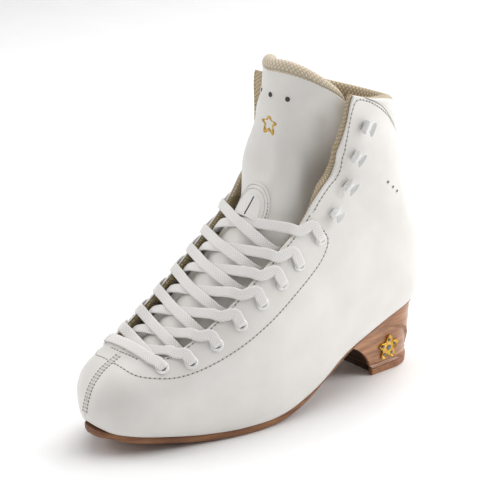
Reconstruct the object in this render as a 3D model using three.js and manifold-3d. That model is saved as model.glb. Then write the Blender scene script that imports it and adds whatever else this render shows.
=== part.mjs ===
// A left white leather figure-skating boot without its blade, in millimetres.
// +X is the outer (lateral) side, -Y the toe, +Z up, and the origin is the
// middle of the heel's bottom face, where the rear plate of a blade bolts on.
import * as THREE from 'three';
import Module from 'manifold-3d';

const wasm = await Module();
wasm.setup();

// ---------------------------------------------------------------- sizes

// The upper is lofted through stations from the toe tip to the cuff. Each has
// the point on its front or top line and on its sole or back line (y, z), its
// half width, half the width of its sole, its sideways shift, and how high
// its widest level lies, as a share of the way up.
const stations = [
  { top: [-245, 27], foot: [-245, 27], half: 0, sole: 0, shift: -2.5, belly: 0.45 },
  { top: [-240, 43], foot: [-236, 17], half: 17, sole: 11, shift: -4, belly: 0.45 },
  { top: [-230, 53], foot: [-224, 13.5], half: 29, sole: 22, shift: -5, belly: 0.45 },
  { top: [-216, 60], foot: [-206, 10.5], half: 37, sole: 30, shift: -5, belly: 0.44 },
  { top: [-196, 72], foot: [-179, 6.5], half: 42.5, sole: 37, shift: -4, belly: 0.43 },
  { top: [-172, 92], foot: [-150, 5], half: 46, sole: 41, shift: -1, belly: 0.43 },
  { top: [-149, 115.5], foot: [-121, 6.5], half: 47.5, sole: 41, shift: 1.5, belly: 0.43 },
  { top: [-130, 137.5], foot: [-90, 16], half: 47, sole: 38.5, shift: 2, belly: 0.43 },
  { top: [-115, 157], foot: [-60, 31], half: 46, sole: 35.5, shift: 1, belly: 0.44 },
  { top: [-110, 174], foot: [-25, 43], half: 46, sole: 34, shift: 0, belly: 0.45 },
  { top: [-108, 186], foot: [8, 51], half: 46, sole: 29, shift: -1, belly: 0.46 },
  { top: [-108, 192], foot: [22, 58.5], half: 45.5, sole: 14, shift: -1, belly: 0.46 },
  { top: [-108.5, 196], foot: [27, 85], half: 46, sole: 0, shift: -1, belly: 0.47 },
  { top: [-109, 204.5], foot: [14, 128], half: 46.5, sole: 0, shift: -1, belly: 0.5 },
  { top: [-109.5, 213.5], foot: [1.5, 169], half: 47.5, sole: 0, shift: -1.5, belly: 0.52 },
  { top: [-112, 224.5], foot: [-2, 192], half: 48, sole: 0, shift: -1.5, belly: 0.54 },
];
const lastStation = stations.length - 1;
const roundness = 2 / 2.15;      // exponent of the section's superellipse

const gap = 0.3;                 // between touching pieces
const leather = 3.2;             // upper leather
const liningThick = 1.5;
const liningTop = leather + gap;
const liningBack = liningTop + liningThick;
const lastingMargin = 14;        // leather turned in under the foot

// Half opening of the throat, as the section's angle at each station number.
const throatLine = [
  [3.25, 0], [3.33, 0.26], [3.45, 0.45], [3.65, 0.6], [3.9, 0.68], [5, 0.74],
  [6, 0.765], [7, 0.83], [8, 0.905], [10.4, 0.92], [12, 1.03], [13.1, 1.14],
  [14.7, 1.41], [15, 1.47],
];
const throatStart = throatLine[0][0];
// Lower edge of the soft collar at the back of the cuff: angle, station.
const collarLine = [[1.62, 15], [1.9, 14.8], [2.2, 14.3], [2.6, 14.12], [Math.PI, 14.1]];
const collarStart = 1.72;
const collarSwell = 1.2;
const collarThick = 9;

const eyeletCount = 8;
const eyeletFirst = 3.51;
const eyeletPitch = 0.648;       // in stations
const eyeletLast = 8.34;
const eyeletInset = 0.262;       // angle behind the throat edge
const eyelet = { bore: 2.3, barrel: 2.9, flange: 4.4, flangeThick: 0.6 };
const hookSeats = [[1.18, 9.26], [1.18, 11.18], [1.32, 12.74], [1.55, 13.85]];
const hook = { reach: 8, width: 7, plate: 1.0, mouth: 3.2 };

// The tongue's front face lies inside the upper by these depths.
const tongueDepth = [[2.9, 5.6], [3.3, 8], [3.7, 10], [6, 10.2], [7, 11], [8, 11], [9, 10],
  [12, 10], [13, 11], [14, 12.5], [15, 15]];
const tongueSideDepth = [[2.9, 5.6], [3.3, 8], [3.7, 10], [7, 10], [8, 12], [9, 14], [10, 14.5],
  [11, 13.5], [12, 12], [13, 10.5], [14, 9.5], [15, 9]];
const tongueEdge = [[2.9, 0.5], [4, 0.9], [6, 1.0], [8, 1.08], [9, 1.2], [10, 1.3], [12, 1.35],
  [15, 1.38]];
const tongueFirst = 2.9;
const tongueLast = 14.55;
const tongueFace = 1.6;
const tongueFoam = 5.5;
const tongueBack = 1.0;
const hingeHeight = 131;         // where the tongue folds forward
const hingeGap = 0.5;
const rollRadius = 5.4;

const outsoleFront = -240.5;
const heelBack = 24.5;
const heelFront = -23.5;
const heelHalf = 26;
const heelFlare = 5;             // how much wider each side is at 60 mm up
const heelLift = 5;
const outsoleThick = 4.3;
const waistThick = 2.2;
const boardThick = 2.2;
const footbedThick = 4;

const laceDiameter = 2.6;
const laceOver = 2.5;            // centre of a strand above the leather
const laceUnder = laceDiameter / 2 + liningBack + 1.4;

// ---------------------------------------------------------------- colours

const finish = (color, roughness, metalness = 0) =>
  new THREE.MeshStandardMaterial({ color, roughness, metalness });
const whiteLeather = finish(0xece9e4, 0.42);
const beigeMesh = finish(0xcbbba0, 0.85);
const foam = finish(0xd9cdb8, 0.95);
const soleLeather = finish(0x9a6a50, 0.45);
const heelWood = finish(0xb58468, 0.38);
const rubber = finish(0x9c6b52, 0.6);
const board = finish(0xb79a72, 0.8);
const steel = finish(0x9a9c9f, 0.35, 1);
const gold = finish(0xd4a94a, 0.25, 1);
const whiteEnamel = finish(0xe6e6e4, 0.3);
const lace = finish(0xe4e3e0, 0.8);
const plastic = finish(0xdcdde0, 0.2);

// ---------------------------------------------------------------- curves

const clamp = THREE.MathUtils.clamp;
const smooth = (x) => THREE.MathUtils.smoothstep(x, 0, 1);

// Cubic through [x, y] pairs, with slopes from the neighbours.
function through(pairs, x) {
  const last = pairs.length - 1;
  if (x <= pairs[0][0]) return pairs[0][1];
  if (x >= pairs[last][0]) return pairs[last][1];
  let i = 0;
  while (x > pairs[i + 1][0]) i += 1;
  const slope = (k) => {
    const a = pairs[Math.max(k - 1, 0)];
    const b = pairs[Math.min(k + 1, last)];
    return (b[1] - a[1]) / (b[0] - a[0]);
  };
  const width = pairs[i + 1][0] - pairs[i][0];
  const t = (x - pairs[i][0]) / width;
  const rise = pairs[i + 1][1] - pairs[i][1];
  const s0 = slope(i) * width;
  const s1 = slope(i + 1) * width;
  return pairs[i][1] + t * s0 + t * t * (3 * rise - 2 * s0 - s1) + t * t * t * (s0 + s1 - 2 * rise);
}

function stationRow(i) {
  if (i < 0) {
    const s = stations[1];
    return [...s.foot, ...s.top, -s.half, -s.sole, s.shift, s.belly];
  }
  const s = stations[Math.min(i, lastStation)];
  const row = [...s.top, ...s.foot, s.half, s.sole, s.shift, s.belly];
  if (i <= lastStation) return row;
  const before = stationRow(lastStation - 1);
  return row.map((value, k) => 2 * value - before[k]);
}

// The section at a station number between 0 (toe tip) and 15 (cuff).
function section(v) {
  const i = clamp(Math.floor(v), 0, lastStation - 1);
  const t = v - i;
  const rows = [i - 1, i, i + 1, i + 2].map(stationRow);
  return rows[1].map((p1, k) => {
    const [p0, , p2, p3] = rows.map((row) => row[k]);
    return 0.5 * (2 * p1 + (p2 - p0) * t + (2 * p0 - 5 * p1 + 4 * p2 - p3) * t * t
      + (3 * p1 - p0 - 3 * p2 + p3) * t * t * t);
  });
}

// A point of the section: angle 0 is the front line, a half turn the edge of
// the sole, and one more unit the inner edge of the lasting margin.
function onSection([topY, topZ, footY, footZ, half, sole, shift, belly], side, angle) {
  const round = Math.min(angle, Math.PI);
  const sine = Math.max(Math.sin(round), 0) ** roundness;
  const cosine = Math.abs(Math.cos(round)) ** roundness;
  const upper = round <= Math.PI / 2;
  let across = upper ? half * sine : sole + (half - sole) * sine;
  const up = upper ? belly + (1 - belly) * cosine : belly * (1 - cosine);
  if (angle > Math.PI) across = sole - (angle - Math.PI) * Math.min(sole, lastingMargin);
  return new THREE.Vector3(
    shift + side * across,
    footY + (topY - footY) * up,
    footZ + (topZ - footZ) * up,
  );
}

// A point at an offset along a lofted surface's outward normal. It stays on
// its own side of the middle by at least the given clearance.
function lifted(rowAt, side, angle, v, offset, clearance) {
  const surface = (a, w) => onSection(rowAt(w), side, a);
  const step = 0.01;
  const point = surface(angle, v);
  const across = surface(angle + step, v).sub(surface(Math.max(angle - step, 0.001), v));
  const onward = surface(angle, v + step).sub(surface(angle, Math.max(v - step, 0.002)));
  const normal = across.cross(onward).multiplyScalar(side).normalize();
  if (v < 0.01) normal.set(0, -1, 0);
  point.addScaledVector(normal, offset);
  const middle = rowAt(v)[6];
  point.x = middle + side * Math.max(side * (point.x - middle), clearance);
  return point;
}

const upperPoint = (side, angle, v, offset) => lifted(section, side, angle, v, offset, gap / 2);
const throatAt = (v) => (v < throatStart ? 0 : through(throatLine, v));

// The tongue follows the upper's sections, with the front line moved in.
function tongueSection(v) {
  const row = section(v);
  const ahead = section(v + 0.05);
  const behind = section(v - 0.05);
  const run = new THREE.Vector2(ahead[0] - behind[0], ahead[1] - behind[1]).normalize();
  const depth = through(tongueDepth, v);
  row[0] += run.y * depth;
  row[1] -= run.x * depth;
  row[4] -= through(tongueSideDepth, v);
  row[5] = Math.min(row[5], row[4]);
  return row;
}
const tonguePoint = (angle, v, offset) =>
  lifted(tongueSection, Math.sign(angle) || 1, Math.abs(angle), v, offset, 0);

// The sole's side view (y, z) and half width, shared by every flat layer. Its
// marks are the upper's own rows, and its two ends are rounded in plan.
const rowMarks = [0, 0.35, 0.75, 1.25, 1.9, 2.6, 3.25, 3.38, 3.6, 4, 4.7, 5.4, 6.1, 6.8, 7.5, 8.2,
  9, 9.8, 10.5, 11.2, 11.9, 12.7, 13.5, 14.2, 15];
const soleRows = rowMarks.filter((v) => v > 2.5 && v < 10).map(section);
const soleLine = [[outsoleFront, 15.5], ...soleRows.map((row) => [row[2], row[3]]), [30, 57]];
const soleWidths = soleRows.map((row) => [row[2], row[5]]);
const soleShift = soleRows.map((row) => [row[2], row[6]]);
const toeCentre = soleWidths[0][0];
const heelCentre = soleWidths[soleRows.length - 1][0];
function soleHalf(y, trim, front, back) {
  const wide = through(soleWidths, y) - trim;
  if (y < toeCentre) {
    return wide * Math.sqrt(Math.max(1 - ((toeCentre - y) / (toeCentre - front)) ** 2, 0.02));
  }
  if (y > heelCentre) {
    return wide * Math.sqrt(Math.max(1 - ((y - heelCentre) / (back - heelCentre)) ** 2, 0.02));
  }
  return wide;
}

// ---------------------------------------------------------------- solids

function solidFrom(points, triangles) {
  const seen = new Map();
  const kept = [];
  const number = points.map((p) => {
    const key = [p.x, p.y, p.z].map((c) => Math.round(c * 5000)).join();
    if (!seen.has(key)) {
      seen.set(key, kept.length / 3);
      kept.push(p.x, p.y, p.z);
    }
    return seen.get(key);
  });
  const faces = triangles.map((t) => t.map((i) => number[i]))
    .filter(([a, b, c]) => a !== b && b !== c && c !== a);
  const corner = (i) => new THREE.Vector3().fromArray(kept, 3 * i);
  const volume = faces.reduce((sum, [a, b, c]) => sum + corner(a).dot(corner(b).cross(corner(c))), 0);
  const outward = volume > 0 ? faces : faces.map(([a, b, c]) => [a, c, b]);
  const geometry = new THREE.BufferGeometry();
  geometry.setAttribute('position', new THREE.Float32BufferAttribute(kept, 3));
  geometry.setIndex(outward.flat());
  return geometry;
}

// A closed sheet between two grids of points of the same size.
function sheetSolid(outer, inner) {
  const rows = outer.length;
  const cols = outer[0].length;
  const points = [...outer.flat(), ...inner.flat()];
  const out = (i, j) => i * cols + j;
  const inn = (i, j) => rows * cols + i * cols + j;
  const triangles = [];
  const quad = (a, b, c, d) => triangles.push([a, b, c], [a, c, d]);
  for (let i = 0; i < rows - 1; i += 1) {
    for (let j = 0; j < cols - 1; j += 1) {
      quad(out(i, j), out(i, j + 1), out(i + 1, j + 1), out(i + 1, j));
      quad(inn(i, j), inn(i + 1, j), inn(i + 1, j + 1), inn(i, j + 1));
    }
  }
  for (let i = 0; i < rows - 1; i += 1) {
    quad(out(i, 0), out(i + 1, 0), inn(i + 1, 0), inn(i, 0));
    quad(out(i, cols - 1), inn(i, cols - 1), inn(i + 1, cols - 1), out(i + 1, cols - 1));
  }
  for (let j = 0; j < cols - 1; j += 1) {
    quad(out(0, j), inn(0, j), inn(0, j + 1), out(0, j + 1));
    quad(out(rows - 1, j), out(rows - 1, j + 1), inn(rows - 1, j + 1), inn(rows - 1, j));
  }
  return solidFrom(points, triangles);
}

// A closed body through rings of points, with flat ends.
function ringSolid(rings) {
  const around = rings[0].length;
  const points = rings.flat();
  const triangles = [];
  for (let i = 0; i < rings.length - 1; i += 1) {
    for (let j = 0; j < around; j += 1) {
      const next = (j + 1) % around;
      const a = i * around;
      const b = a + around;
      triangles.push([a + j, a + next, b + next], [a + j, b + next, b + j]);
    }
  }
  const end = (rings.length - 1) * around;
  for (let j = 1; j < around - 1; j += 1) {
    triangles.push([0, j + 1, j], [end, end + j, end + j + 1]);
  }
  return solidFrom(points, triangles);
}

// Joins the corners of a three.js shape and turns its faces outwards.
function welded(geometry) {
  const loose = geometry.index ? geometry.toNonIndexed() : geometry;
  const { position } = loose.attributes;
  return solidFrom(
    Array.from({ length: position.count }, (_, i) =>
      new THREE.Vector3().fromBufferAttribute(position, i)),
    Array.from({ length: position.count / 3 }, (_, i) => [3 * i, 3 * i + 1, 3 * i + 2]),
  );
}

function toManifold(geometry) {
  return new wasm.Manifold(new wasm.Mesh({
    numProp: 3,
    vertProperties: new Float32Array(geometry.attributes.position.array),
    triVerts: new Uint32Array(geometry.index.array),
  }));
}

function fromManifold(body) {
  const mesh = body.getMesh();
  const geometry = new THREE.BufferGeometry();
  geometry.setAttribute('position', new THREE.BufferAttribute(mesh.vertProperties, 3));
  geometry.setIndex(new THREE.BufferAttribute(mesh.triVerts, 1));
  return geometry;
}

function extruded(outline, depth) {
  const shape = new THREE.Shape(outline.map(([x, y]) => new THREE.Vector2(x, y)));
  return welded(new THREE.ExtrudeGeometry(shape, { depth, bevelEnabled: false }));
}

const boot = new THREE.Group();
boot.name = 'figure_skating_boot';

function addMesh(name, geometry, material, parent = boot) {
  geometry.computeVertexNormals();
  const mesh = new THREE.Mesh(geometry, material);
  mesh.name = name;
  parent.add(mesh);
  return mesh;
}

// Turns a group so that +Z points out of the upper and +X away from the throat.
function seatOnUpper(object, side, angle, v, offset = 0) {
  const base = upperPoint(side, angle, v, offset);
  const out = upperPoint(side, angle, v, offset + 1).sub(base).normalize();
  const away = upperPoint(side, angle + 0.02, v, offset).sub(base).normalize();
  away.addScaledVector(out, -away.dot(out)).normalize();
  const across = new THREE.Vector3().crossVectors(out, away);
  object.applyMatrix4(new THREE.Matrix4().makeBasis(away, across, out).setPosition(base));
  return object;
}

// ---------------------------------------------------------------- upper

const shellColumns = 8;
const liningColumns = 6;         // the lining stops above the footbed

// Rows squeeze under the collar at the back of the cuff.
function cutBelowCollar(v, angle) {
  const room = lastStation - through(collarLine, angle);
  return v - room * smooth((v - 11) / 4);
}

// Column by column from the throat edge to the edge of the sole, then, where
// there is a sole, to the inner edge of the lasting margin.
function shellGrid(side, offset, columns) {
  return rowMarks.map((v) => {
    const start = throatAt(v);
    const margin = section(v)[5] > 3 ? 1 : 0;
    const row = [];
    for (let j = 0; j <= columns; j += 1) {
      const angle = start + (Math.PI - start) * Math.min(j / shellColumns, 1);
      const inward = j > shellColumns ? margin : 0;
      row.push(upperPoint(side, angle + inward, cutBelowCollar(v, angle), offset));
    }
    return row;
  });
}

function eyeletStation(i) {
  return i === eyeletCount - 1 ? eyeletLast : eyeletFirst + eyeletPitch * i;
}
const eyeletAngle = (i) => throatAt(eyeletStation(i)) + eyeletInset;

function holeCutter(radius, side, angle, v) {
  const rod = new THREE.CylinderGeometry(radius, radius, 20, 8);
  rod.rotateX(Math.PI / 2);
  return toManifold(welded(seatOnUpper(rod, side, angle, v)));
}

function withHoles(geometry, side) {
  let body = toManifold(geometry);
  for (let i = 0; i < eyeletCount; i += 1) {
    body = body.subtract(holeCutter(eyelet.barrel + gap, side, eyeletAngle(i), eyeletStation(i)));
  }
  return fromManifold(body);
}

for (const [name, side] of [['lateral', 1], ['medial', -1]]) {
  const outer = shellGrid(side, 0, shellColumns + 1);
  const inner = shellGrid(side, -leather, shellColumns + 1);
  addMesh(`quarter_${name}`, withHoles(sheetSolid(outer, inner), side), whiteLeather);
  const liningOuter = shellGrid(side, -liningTop, liningColumns);
  const liningInner = shellGrid(side, -liningBack, liningColumns);
  addMesh(`lining_${name}`, withHoles(sheetSolid(liningOuter, liningInner), side), beigeMesh);
}

// The padded collar closes the back of the cuff with one soft rounded body.
const collarSteps = 16;
const collarRings = Array.from({ length: collarSteps + 1 }, (_, i) => {
  const turn = (Math.PI - collarStart) * (2 * i / collarSteps - 1);
  const side = turn < 0 ? -1 : 1;
  const angle = Math.PI - Math.abs(turn);
  const low = through(collarLine, angle) + 0.02;
  const high = lastStation;
  const swell = collarSwell * smooth(4 * (1 - Math.abs(2 * i / collarSteps - 1)));
  const at = (share, offset) => lifted(section, side, angle, low + (high - low) * share, offset, 0);
  return [
    at(0, -0.2), at(0.35, swell), at(0.8, swell), at(1, -2.2),
    at(1, -collarThick + 3), at(0.75, -collarThick), at(0.35, -collarThick), at(0, -liningBack),
  ];
});
addMesh('achilles_collar', ringSolid(collarRings), beigeMesh);

// ---------------------------------------------------------------- tongue

const tongueColumns = 8;
const tongueRows = [tongueFirst, 3.3, 3.7, 4.7, 5.7, 6.6, 7.4, 8.2, 9.1, 10.3, 11.6, 13, tongueLast];

function tongueGrid(offset) {
  return tongueRows.map((v) => {
    const edge = through(tongueEdge, v);
    return Array.from({ length: tongueColumns + 1 }, (_, j) =>
      tonguePoint(edge * (2 * j / tongueColumns - 1), v, offset));
  });
}

// Splits a tongue layer at the fold into its lower and upper piece.
function splitAtFold(geometry) {
  const half = (low, high) => {
    const block = new THREE.BoxGeometry(200, 400, high - low);
    block.translate(0, 0, (low + high) / 2);
    return toManifold(welded(block));
  };
  const body = toManifold(geometry);
  return [
    fromManifold(body.intersect(half(-50, hingeHeight - hingeGap / 2))),
    fromManifold(body.intersect(half(hingeHeight + hingeGap / 2, 300))),
  ];
}

const tongueLayers = [
  ['face', 0, tongueFace, whiteLeather],
  ['padding', tongueFace + gap, tongueFoam, foam],
  ['backing', tongueFace + tongueFoam + 2 * gap, tongueBack, beigeMesh],
];
for (const [layer, depth, thick, material] of tongueLayers) {
  const [low, high] = splitAtFold(sheetSolid(tongueGrid(-depth), tongueGrid(-depth - thick)));
  addMesh(`tongue_${layer}_lower`, low, material);
  addMesh(`tongue_${layer}_upper`, high, material);
}

// A sweep whose rings sit at the curve's own points, so bends get more steps.
class PointwiseCurve extends THREE.CatmullRomCurve3 {
  getUtoTmapping(u) { return u; }
}

function tube(points, radius, sides) {
  const curve = new PointwiseCurve(points, false, 'centripetal');
  const ring = Array.from({ length: sides }, (_, i) => {
    const turn = 2 * Math.PI * i / sides;
    return new THREE.Vector2(radius * Math.cos(turn), radius * Math.sin(turn));
  });
  return welded(new THREE.ExtrudeGeometry(new THREE.Shape(ring), {
    steps: points.length - 1, extrudePath: curve, bevelEnabled: false,
  }));
}

// The padded roll along the top edge of the tongue.
const rollSteps = 14;
const rollEdge = through(tongueEdge, tongueLast) - 0.06;
const rollPath = Array.from({ length: rollSteps + 1 }, (_, i) => {
  const angle = rollEdge * (2 * i / rollSteps - 1);
  const base = tonguePoint(angle, tongueLast, -rollRadius + 1);
  const up = tonguePoint(angle, tongueLast, 0).sub(tonguePoint(angle, tongueLast - 0.1, 0));
  return base.addScaledVector(up.normalize(), rollRadius + 1);
});
addMesh('tongue_top_roll', tube(rollPath, rollRadius, 10), beigeMesh);

// An arched patch above the lacing carries a strap that keeps the lace in place.
const patchBottom = 7.2;
const patchTop = 8.0;
const patchHalf = 0.36;
const patchThick = 1.2;
function facePatch(v0, v1, halfAt, offset, thick, rows = 6, cols = 6) {
  const grid = (lift) => Array.from({ length: rows + 1 }, (_, i) => {
    const share = i / rows;
    const v = v0 + (v1 - v0) * share;
    return Array.from({ length: cols + 1 }, (_, j) =>
      tonguePoint(halfAt(share) * (2 * j / cols - 1), v, lift));
  });
  return sheetSolid(grid(offset + thick), grid(offset));
}
const arch = (share) => patchHalf * Math.sqrt(Math.max(1 - share ** 3, 0.03));
const patchLift = 1.1;
const patch = facePatch(patchBottom, patchTop, arch, patchLift, patchThick);
addMesh('tongue_patch', splitAtFold(patch)[1], whiteLeather);
addMesh('lace_keeper_strap', facePatch(patchBottom + 0.2, patchTop - 0.2, () => 0.05,
  patchLift + patchThick + gap, 0.8, 4, 1), lace);

// ---------------------------------------------------------------- hardware

function turned(profile, segments) {
  const closed = [...profile, profile[0]].map(([r, z]) => new THREE.Vector2(r, z));
  const geometry = new THREE.LatheGeometry(closed, segments);
  geometry.rotateX(Math.PI / 2);
  return welded(geometry);
}

const eyeletProfile = [
  [eyelet.bore, gap + eyelet.flangeThick],
  [eyelet.flange - 0.3, gap + eyelet.flangeThick],
  [eyelet.flange, gap],
  [eyelet.barrel, gap],
  [eyelet.barrel, -liningBack - gap],
  [eyelet.bore, -liningBack - gap],
];

// A speed hook seen from the side: base plate, rise beside the throat and the
// plate that the lace slips under. It opens away from the throat.
const hookTop = gap + 2 * hook.plate + hook.mouth;
const hookOutline = [
  [-hook.reach / 2, gap], [hook.reach / 2, gap], [hook.reach / 2, gap + hook.plate],
  [-hook.reach / 2 + 2, gap + hook.plate], [-hook.reach / 2 + 1.2, gap + hook.plate + 1],
  [-hook.reach / 2 + 1.2, hookTop - hook.plate - 1], [-hook.reach / 2 + 2, hookTop - hook.plate],
  [hook.reach / 2 - 1, hookTop - hook.plate], [hook.reach / 2, hookTop - hook.plate - 0.6],
  [hook.reach / 2 + 0.3, hookTop - 0.4], [hook.reach / 2 - 1, hookTop],
  [-hook.reach / 2 + 1.2, hookTop], [-hook.reach / 2, hookTop - 1.2],
];

function hookGeometry() {
  const plate = extruded(hookOutline, hook.width);
  plate.translate(0, 0, -hook.width / 2);
  plate.rotateX(Math.PI / 2);
  return plate;
}

for (const [name, side] of [['lateral', 1], ['medial', -1]]) {
  for (let i = 0; i < eyeletCount; i += 1) {
    const ring = turned(eyeletProfile, 8);
    seatOnUpper(ring, side, eyeletAngle(i), eyeletStation(i));
    addMesh(`eyelet_${name}_${i + 1}`, ring, whiteEnamel);
  }
  hookSeats.forEach(([angle, v], i) => {
    const geometry = hookGeometry();
    seatOnUpper(geometry, side, angle, v);
    addMesh(`hook_${name}_${i + 1}`, geometry, whiteEnamel);
  });
}

// ---------------------------------------------------------------- sole

// A layer that follows the sole line between two heights above it.
function soleBody(marks, halfAt, lowAt, highAt) {
  return ringSolid(marks.map((y) => {
    const middle = through(soleShift, y);
    const z = through(soleLine, y);
    return [[-1, lowAt(y)], [1, lowAt(y)], [1, highAt(y)], [-1, highAt(y)]]
      .map(([x, lift]) => new THREE.Vector3(middle + x * halfAt(y), y, z + lift));
  }));
}

function soleLayer(front, back, trim, lowAt, highAt) {
  const marks = [
    ...[0, 0.1, 0.28, 0.6].map((t) => front + (toeCentre - front) * t),
    ...soleWidths.map(([y]) => y).filter((y) => y > front && y < back),
    ...[0.35, 0.65, 0.88, 1].map((t) => heelCentre + (back - heelCentre) * t),
  ];
  return soleBody(marks, (y) => soleHalf(y, trim, front, back), lowAt, highAt);
}

function soleStrip(front, back, half, low, high) {
  const marks = Array.from({ length: 8 }, (_, i) => front + (back - front) * i / 7);
  return soleBody(marks, () => half, () => low, () => high);
}

const soleThick = (y) => waistThick + (outsoleThick - waistThick) * smooth((-75 - y) / 45);
const boardLow = leather + 2 * gap;
const footbedLow = boardLow + boardThick + gap;
const shankThick = 1.2;
const outsoleWiden = 0.8;

addMesh('outsole', soleLayer(outsoleFront, heelBack, -outsoleWiden,
  (y) => -gap - soleThick(y), () => -gap), soleLeather);
addMesh('forefoot_filler', soleBody(
  [-205, ...soleWidths.map(([y]) => y).filter((y) => y > -200 && y < -115), -112],
  (y) => through(soleWidths, y) - lastingMargin - 1.5, () => 0.1, () => leather,
), board);
addMesh('steel_shank', soleStrip(-104, -6, 7, 0.6, 0.6 + shankThick), steel);
addMesh('insole_board', soleLayer(-224, 6, 4.5, () => boardLow, () => boardLow + boardThick), board);
addMesh('footbed', soleLayer(-221, 5, 5, () => footbedLow, () => footbedLow + footbedThick),
  beigeMesh);

// The heel: a tapered D in plan, cut by its side view with a hollowed breast.
const breastTip = -62;
const breastRise = 26;
const heelTop = (y) => through(soleLine, y) - gap - soleThick(y) - gap;

function heelBody(shrink) {
  const ring = (z) => {
    const half = heelHalf + heelFlare * z / 60 - shrink;
    const back = heelBack - 1 + z / 60 - shrink;
    const centre = -2;
    const arc = Array.from({ length: 13 }, (_, i) => {
      const turn = Math.PI * i / 12;
      return new THREE.Vector3(half * Math.cos(turn), centre + (back - centre) * Math.sin(turn), z);
    });
    return [...arc, new THREE.Vector3(-half, -70, z), new THREE.Vector3(half, -70, z)];
  };
  return toManifold(ringSolid([ring(0), ring(60)]));
}

// A side view (y, z) swept across the whole width.
function sideBlock(outline, from = -60, to = 60) {
  const shape = extruded(outline, to - from);
  shape.applyMatrix4(new THREE.Matrix4().makeBasis(
    new THREE.Vector3(0, 1, 0), new THREE.Vector3(0, 0, 1), new THREE.Vector3(1, 0, 0),
  ).setPosition(from, 0, 0));
  return toManifold(shape);
}

const breast = Array.from({ length: 9 }, (_, i) => {
  const turn = Math.PI / 2 * i / 8;
  return [
    heelFront + (breastTip - heelFront) * (1 - Math.cos(turn)),
    breastRise * Math.sin(turn),
  ];
});
const topMarks = [-60, ...soleWidths.map(([y]) => y).filter((y) => y > -60), 12, 26];
const heelSide = [[26, 0], ...breast, ...topMarks.map((y) => [y, heelTop(y)])];
const band = (low, high) => sideBlock([[-80, low], [40, low], [40, high], [-80, high]]);
const wholeHeel = heelBody(0).intersect(sideBlock(heelSide));

const recessDepth = 0.9;
const recessCentre = -3;
const recess = Array.from({ length: 11 }, (_, i) => {
  const turn = Math.PI * i / 10;
  return [recessCentre + 19 * Math.cos(turn), heelLift + 5 + 22 * Math.sin(turn) ** 0.7];
});
const recessTool = sideBlock(recess).subtract(heelBody(recessDepth));
addMesh('heel_block', fromManifold(
  wholeHeel.intersect(band(heelLift + gap, 80)).subtract(recessTool)), heelWood);
addMesh('heel_lift', fromManifold(wholeHeel.intersect(band(-1, heelLift))), rubber);

// A plain rosette on the outer side of the heel.
const badge = { height: 19, along: -9, radius: 7.5, thick: 1.1, points: 5 };
const rosette = Array.from({ length: 4 * badge.points }, (_, i) => {
  const turn = Math.PI * i / (2 * badge.points);
  const radius = badge.radius * (0.8 + 0.2 * Math.cos(badge.points * turn));
  return [radius * Math.sin(turn), radius * Math.cos(turn)];
});
const badgePlate = extruded(rosette, badge.thick);
badgePlate.applyMatrix4(new THREE.Matrix4().makeBasis(
  new THREE.Vector3(0, 1, 0), new THREE.Vector3(0, 0, 1), new THREE.Vector3(1, 0, 0)));
badgePlate.rotateY(Math.atan(heelFlare / 60));
badgePlate.translate(heelHalf + heelFlare * badge.height / 60 - recessDepth + gap,
  badge.along, badge.height);
addMesh('heel_badge', badgePlate, gold);

// ---------------------------------------------------------------- lacing

const laceOnTongue = (v) => -through(tongueDepth, v) + laceDiameter / 2 + 0.75;
const laceLayer = laceDiameter + 0.35;
const laceDip = (i) => 0.15 + 0.137 * i;      // the strands run lower at the middle
const holeTurn = [[-0.14, 3.2], [-0.05, 3.1], [0, 1.2], [0, -5.2]];
const insideTurn = [[-0.03, -laceUnder + 0.8], [-0.12, -laceUnder]];

function intoEyelet(side, i) {
  return holeTurn.map(([turn, lift]) =>
    upperPoint(side, eyeletAngle(i) + turn, eyeletStation(i), lift));
}

// From inside eyelet i on one side, under its facing, across the tongue and
// over the other facing to eyelet i + 1.
function crossing(side, i, over) {
  const from = eyeletAngle(i);
  const to = eyeletAngle(i + 1);
  const edge0 = throatAt(eyeletStation(i));
  const edge1 = throatAt(eyeletStation(i + 1));
  const at = (turn, liftAt) => {
    const share = (turn + from) / (from + to);
    const flat = 1 - (turn / (turn < 0 ? from : to)) ** 2;
    const v = eyeletStation(i) + (eyeletStation(i + 1) - eyeletStation(i)) * share
      - laceDip(i) * flat;
    return upperPoint(turn < 0 ? side : -side, Math.abs(turn), v, liftAt(v));
  };
  const inside = insideTurn.map(([turn, lift]) =>
    upperPoint(side, from + turn, eyeletStation(i), lift));
  const middle = (v) => laceOnTongue(v) + (over ? laceLayer : 0);
  return [
    ...inside,
    at(-edge0 + 0.05, () => -laceUnder),
    at(-edge0 * 0.5, (v) => (laceOnTongue(v) - laceUnder) / 2 + (over ? 0.5 : 0)),
    at(-0.1, middle),
    at(0.1, middle),
    at(edge1 * 0.5, (v) => middle(v) + (over ? 1.6 : 2.4)),
    at(edge1 - 0.1, () => laceOver - 0.3),
    at(edge1, () => laceOver),
    ...intoEyelet(-side, i + 1),
  ];
}

// The bar across the bottom of the throat enters both first eyelets.
function bar(fromTurn, toTurn, steps) {
  return Array.from({ length: steps + 1 }, (_, i) => {
    const turn = fromTurn + (toTurn - fromTurn) * i / steps;
    const dip = laceDip(0) * (1 - (turn / eyeletAngle(0)) ** 2);
    return upperPoint(Math.sign(turn) || 1, Math.abs(turn), eyeletStation(0) - dip, 3);
  });
}

function lacing(firstSide) {
  const points = [];
  let side = firstSide;
  for (let i = 0; i < eyeletCount - 1; i += 1) {
    points.push(...crossing(side, i, side === 1));
    side = -side;
  }
  return points;
}

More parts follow.
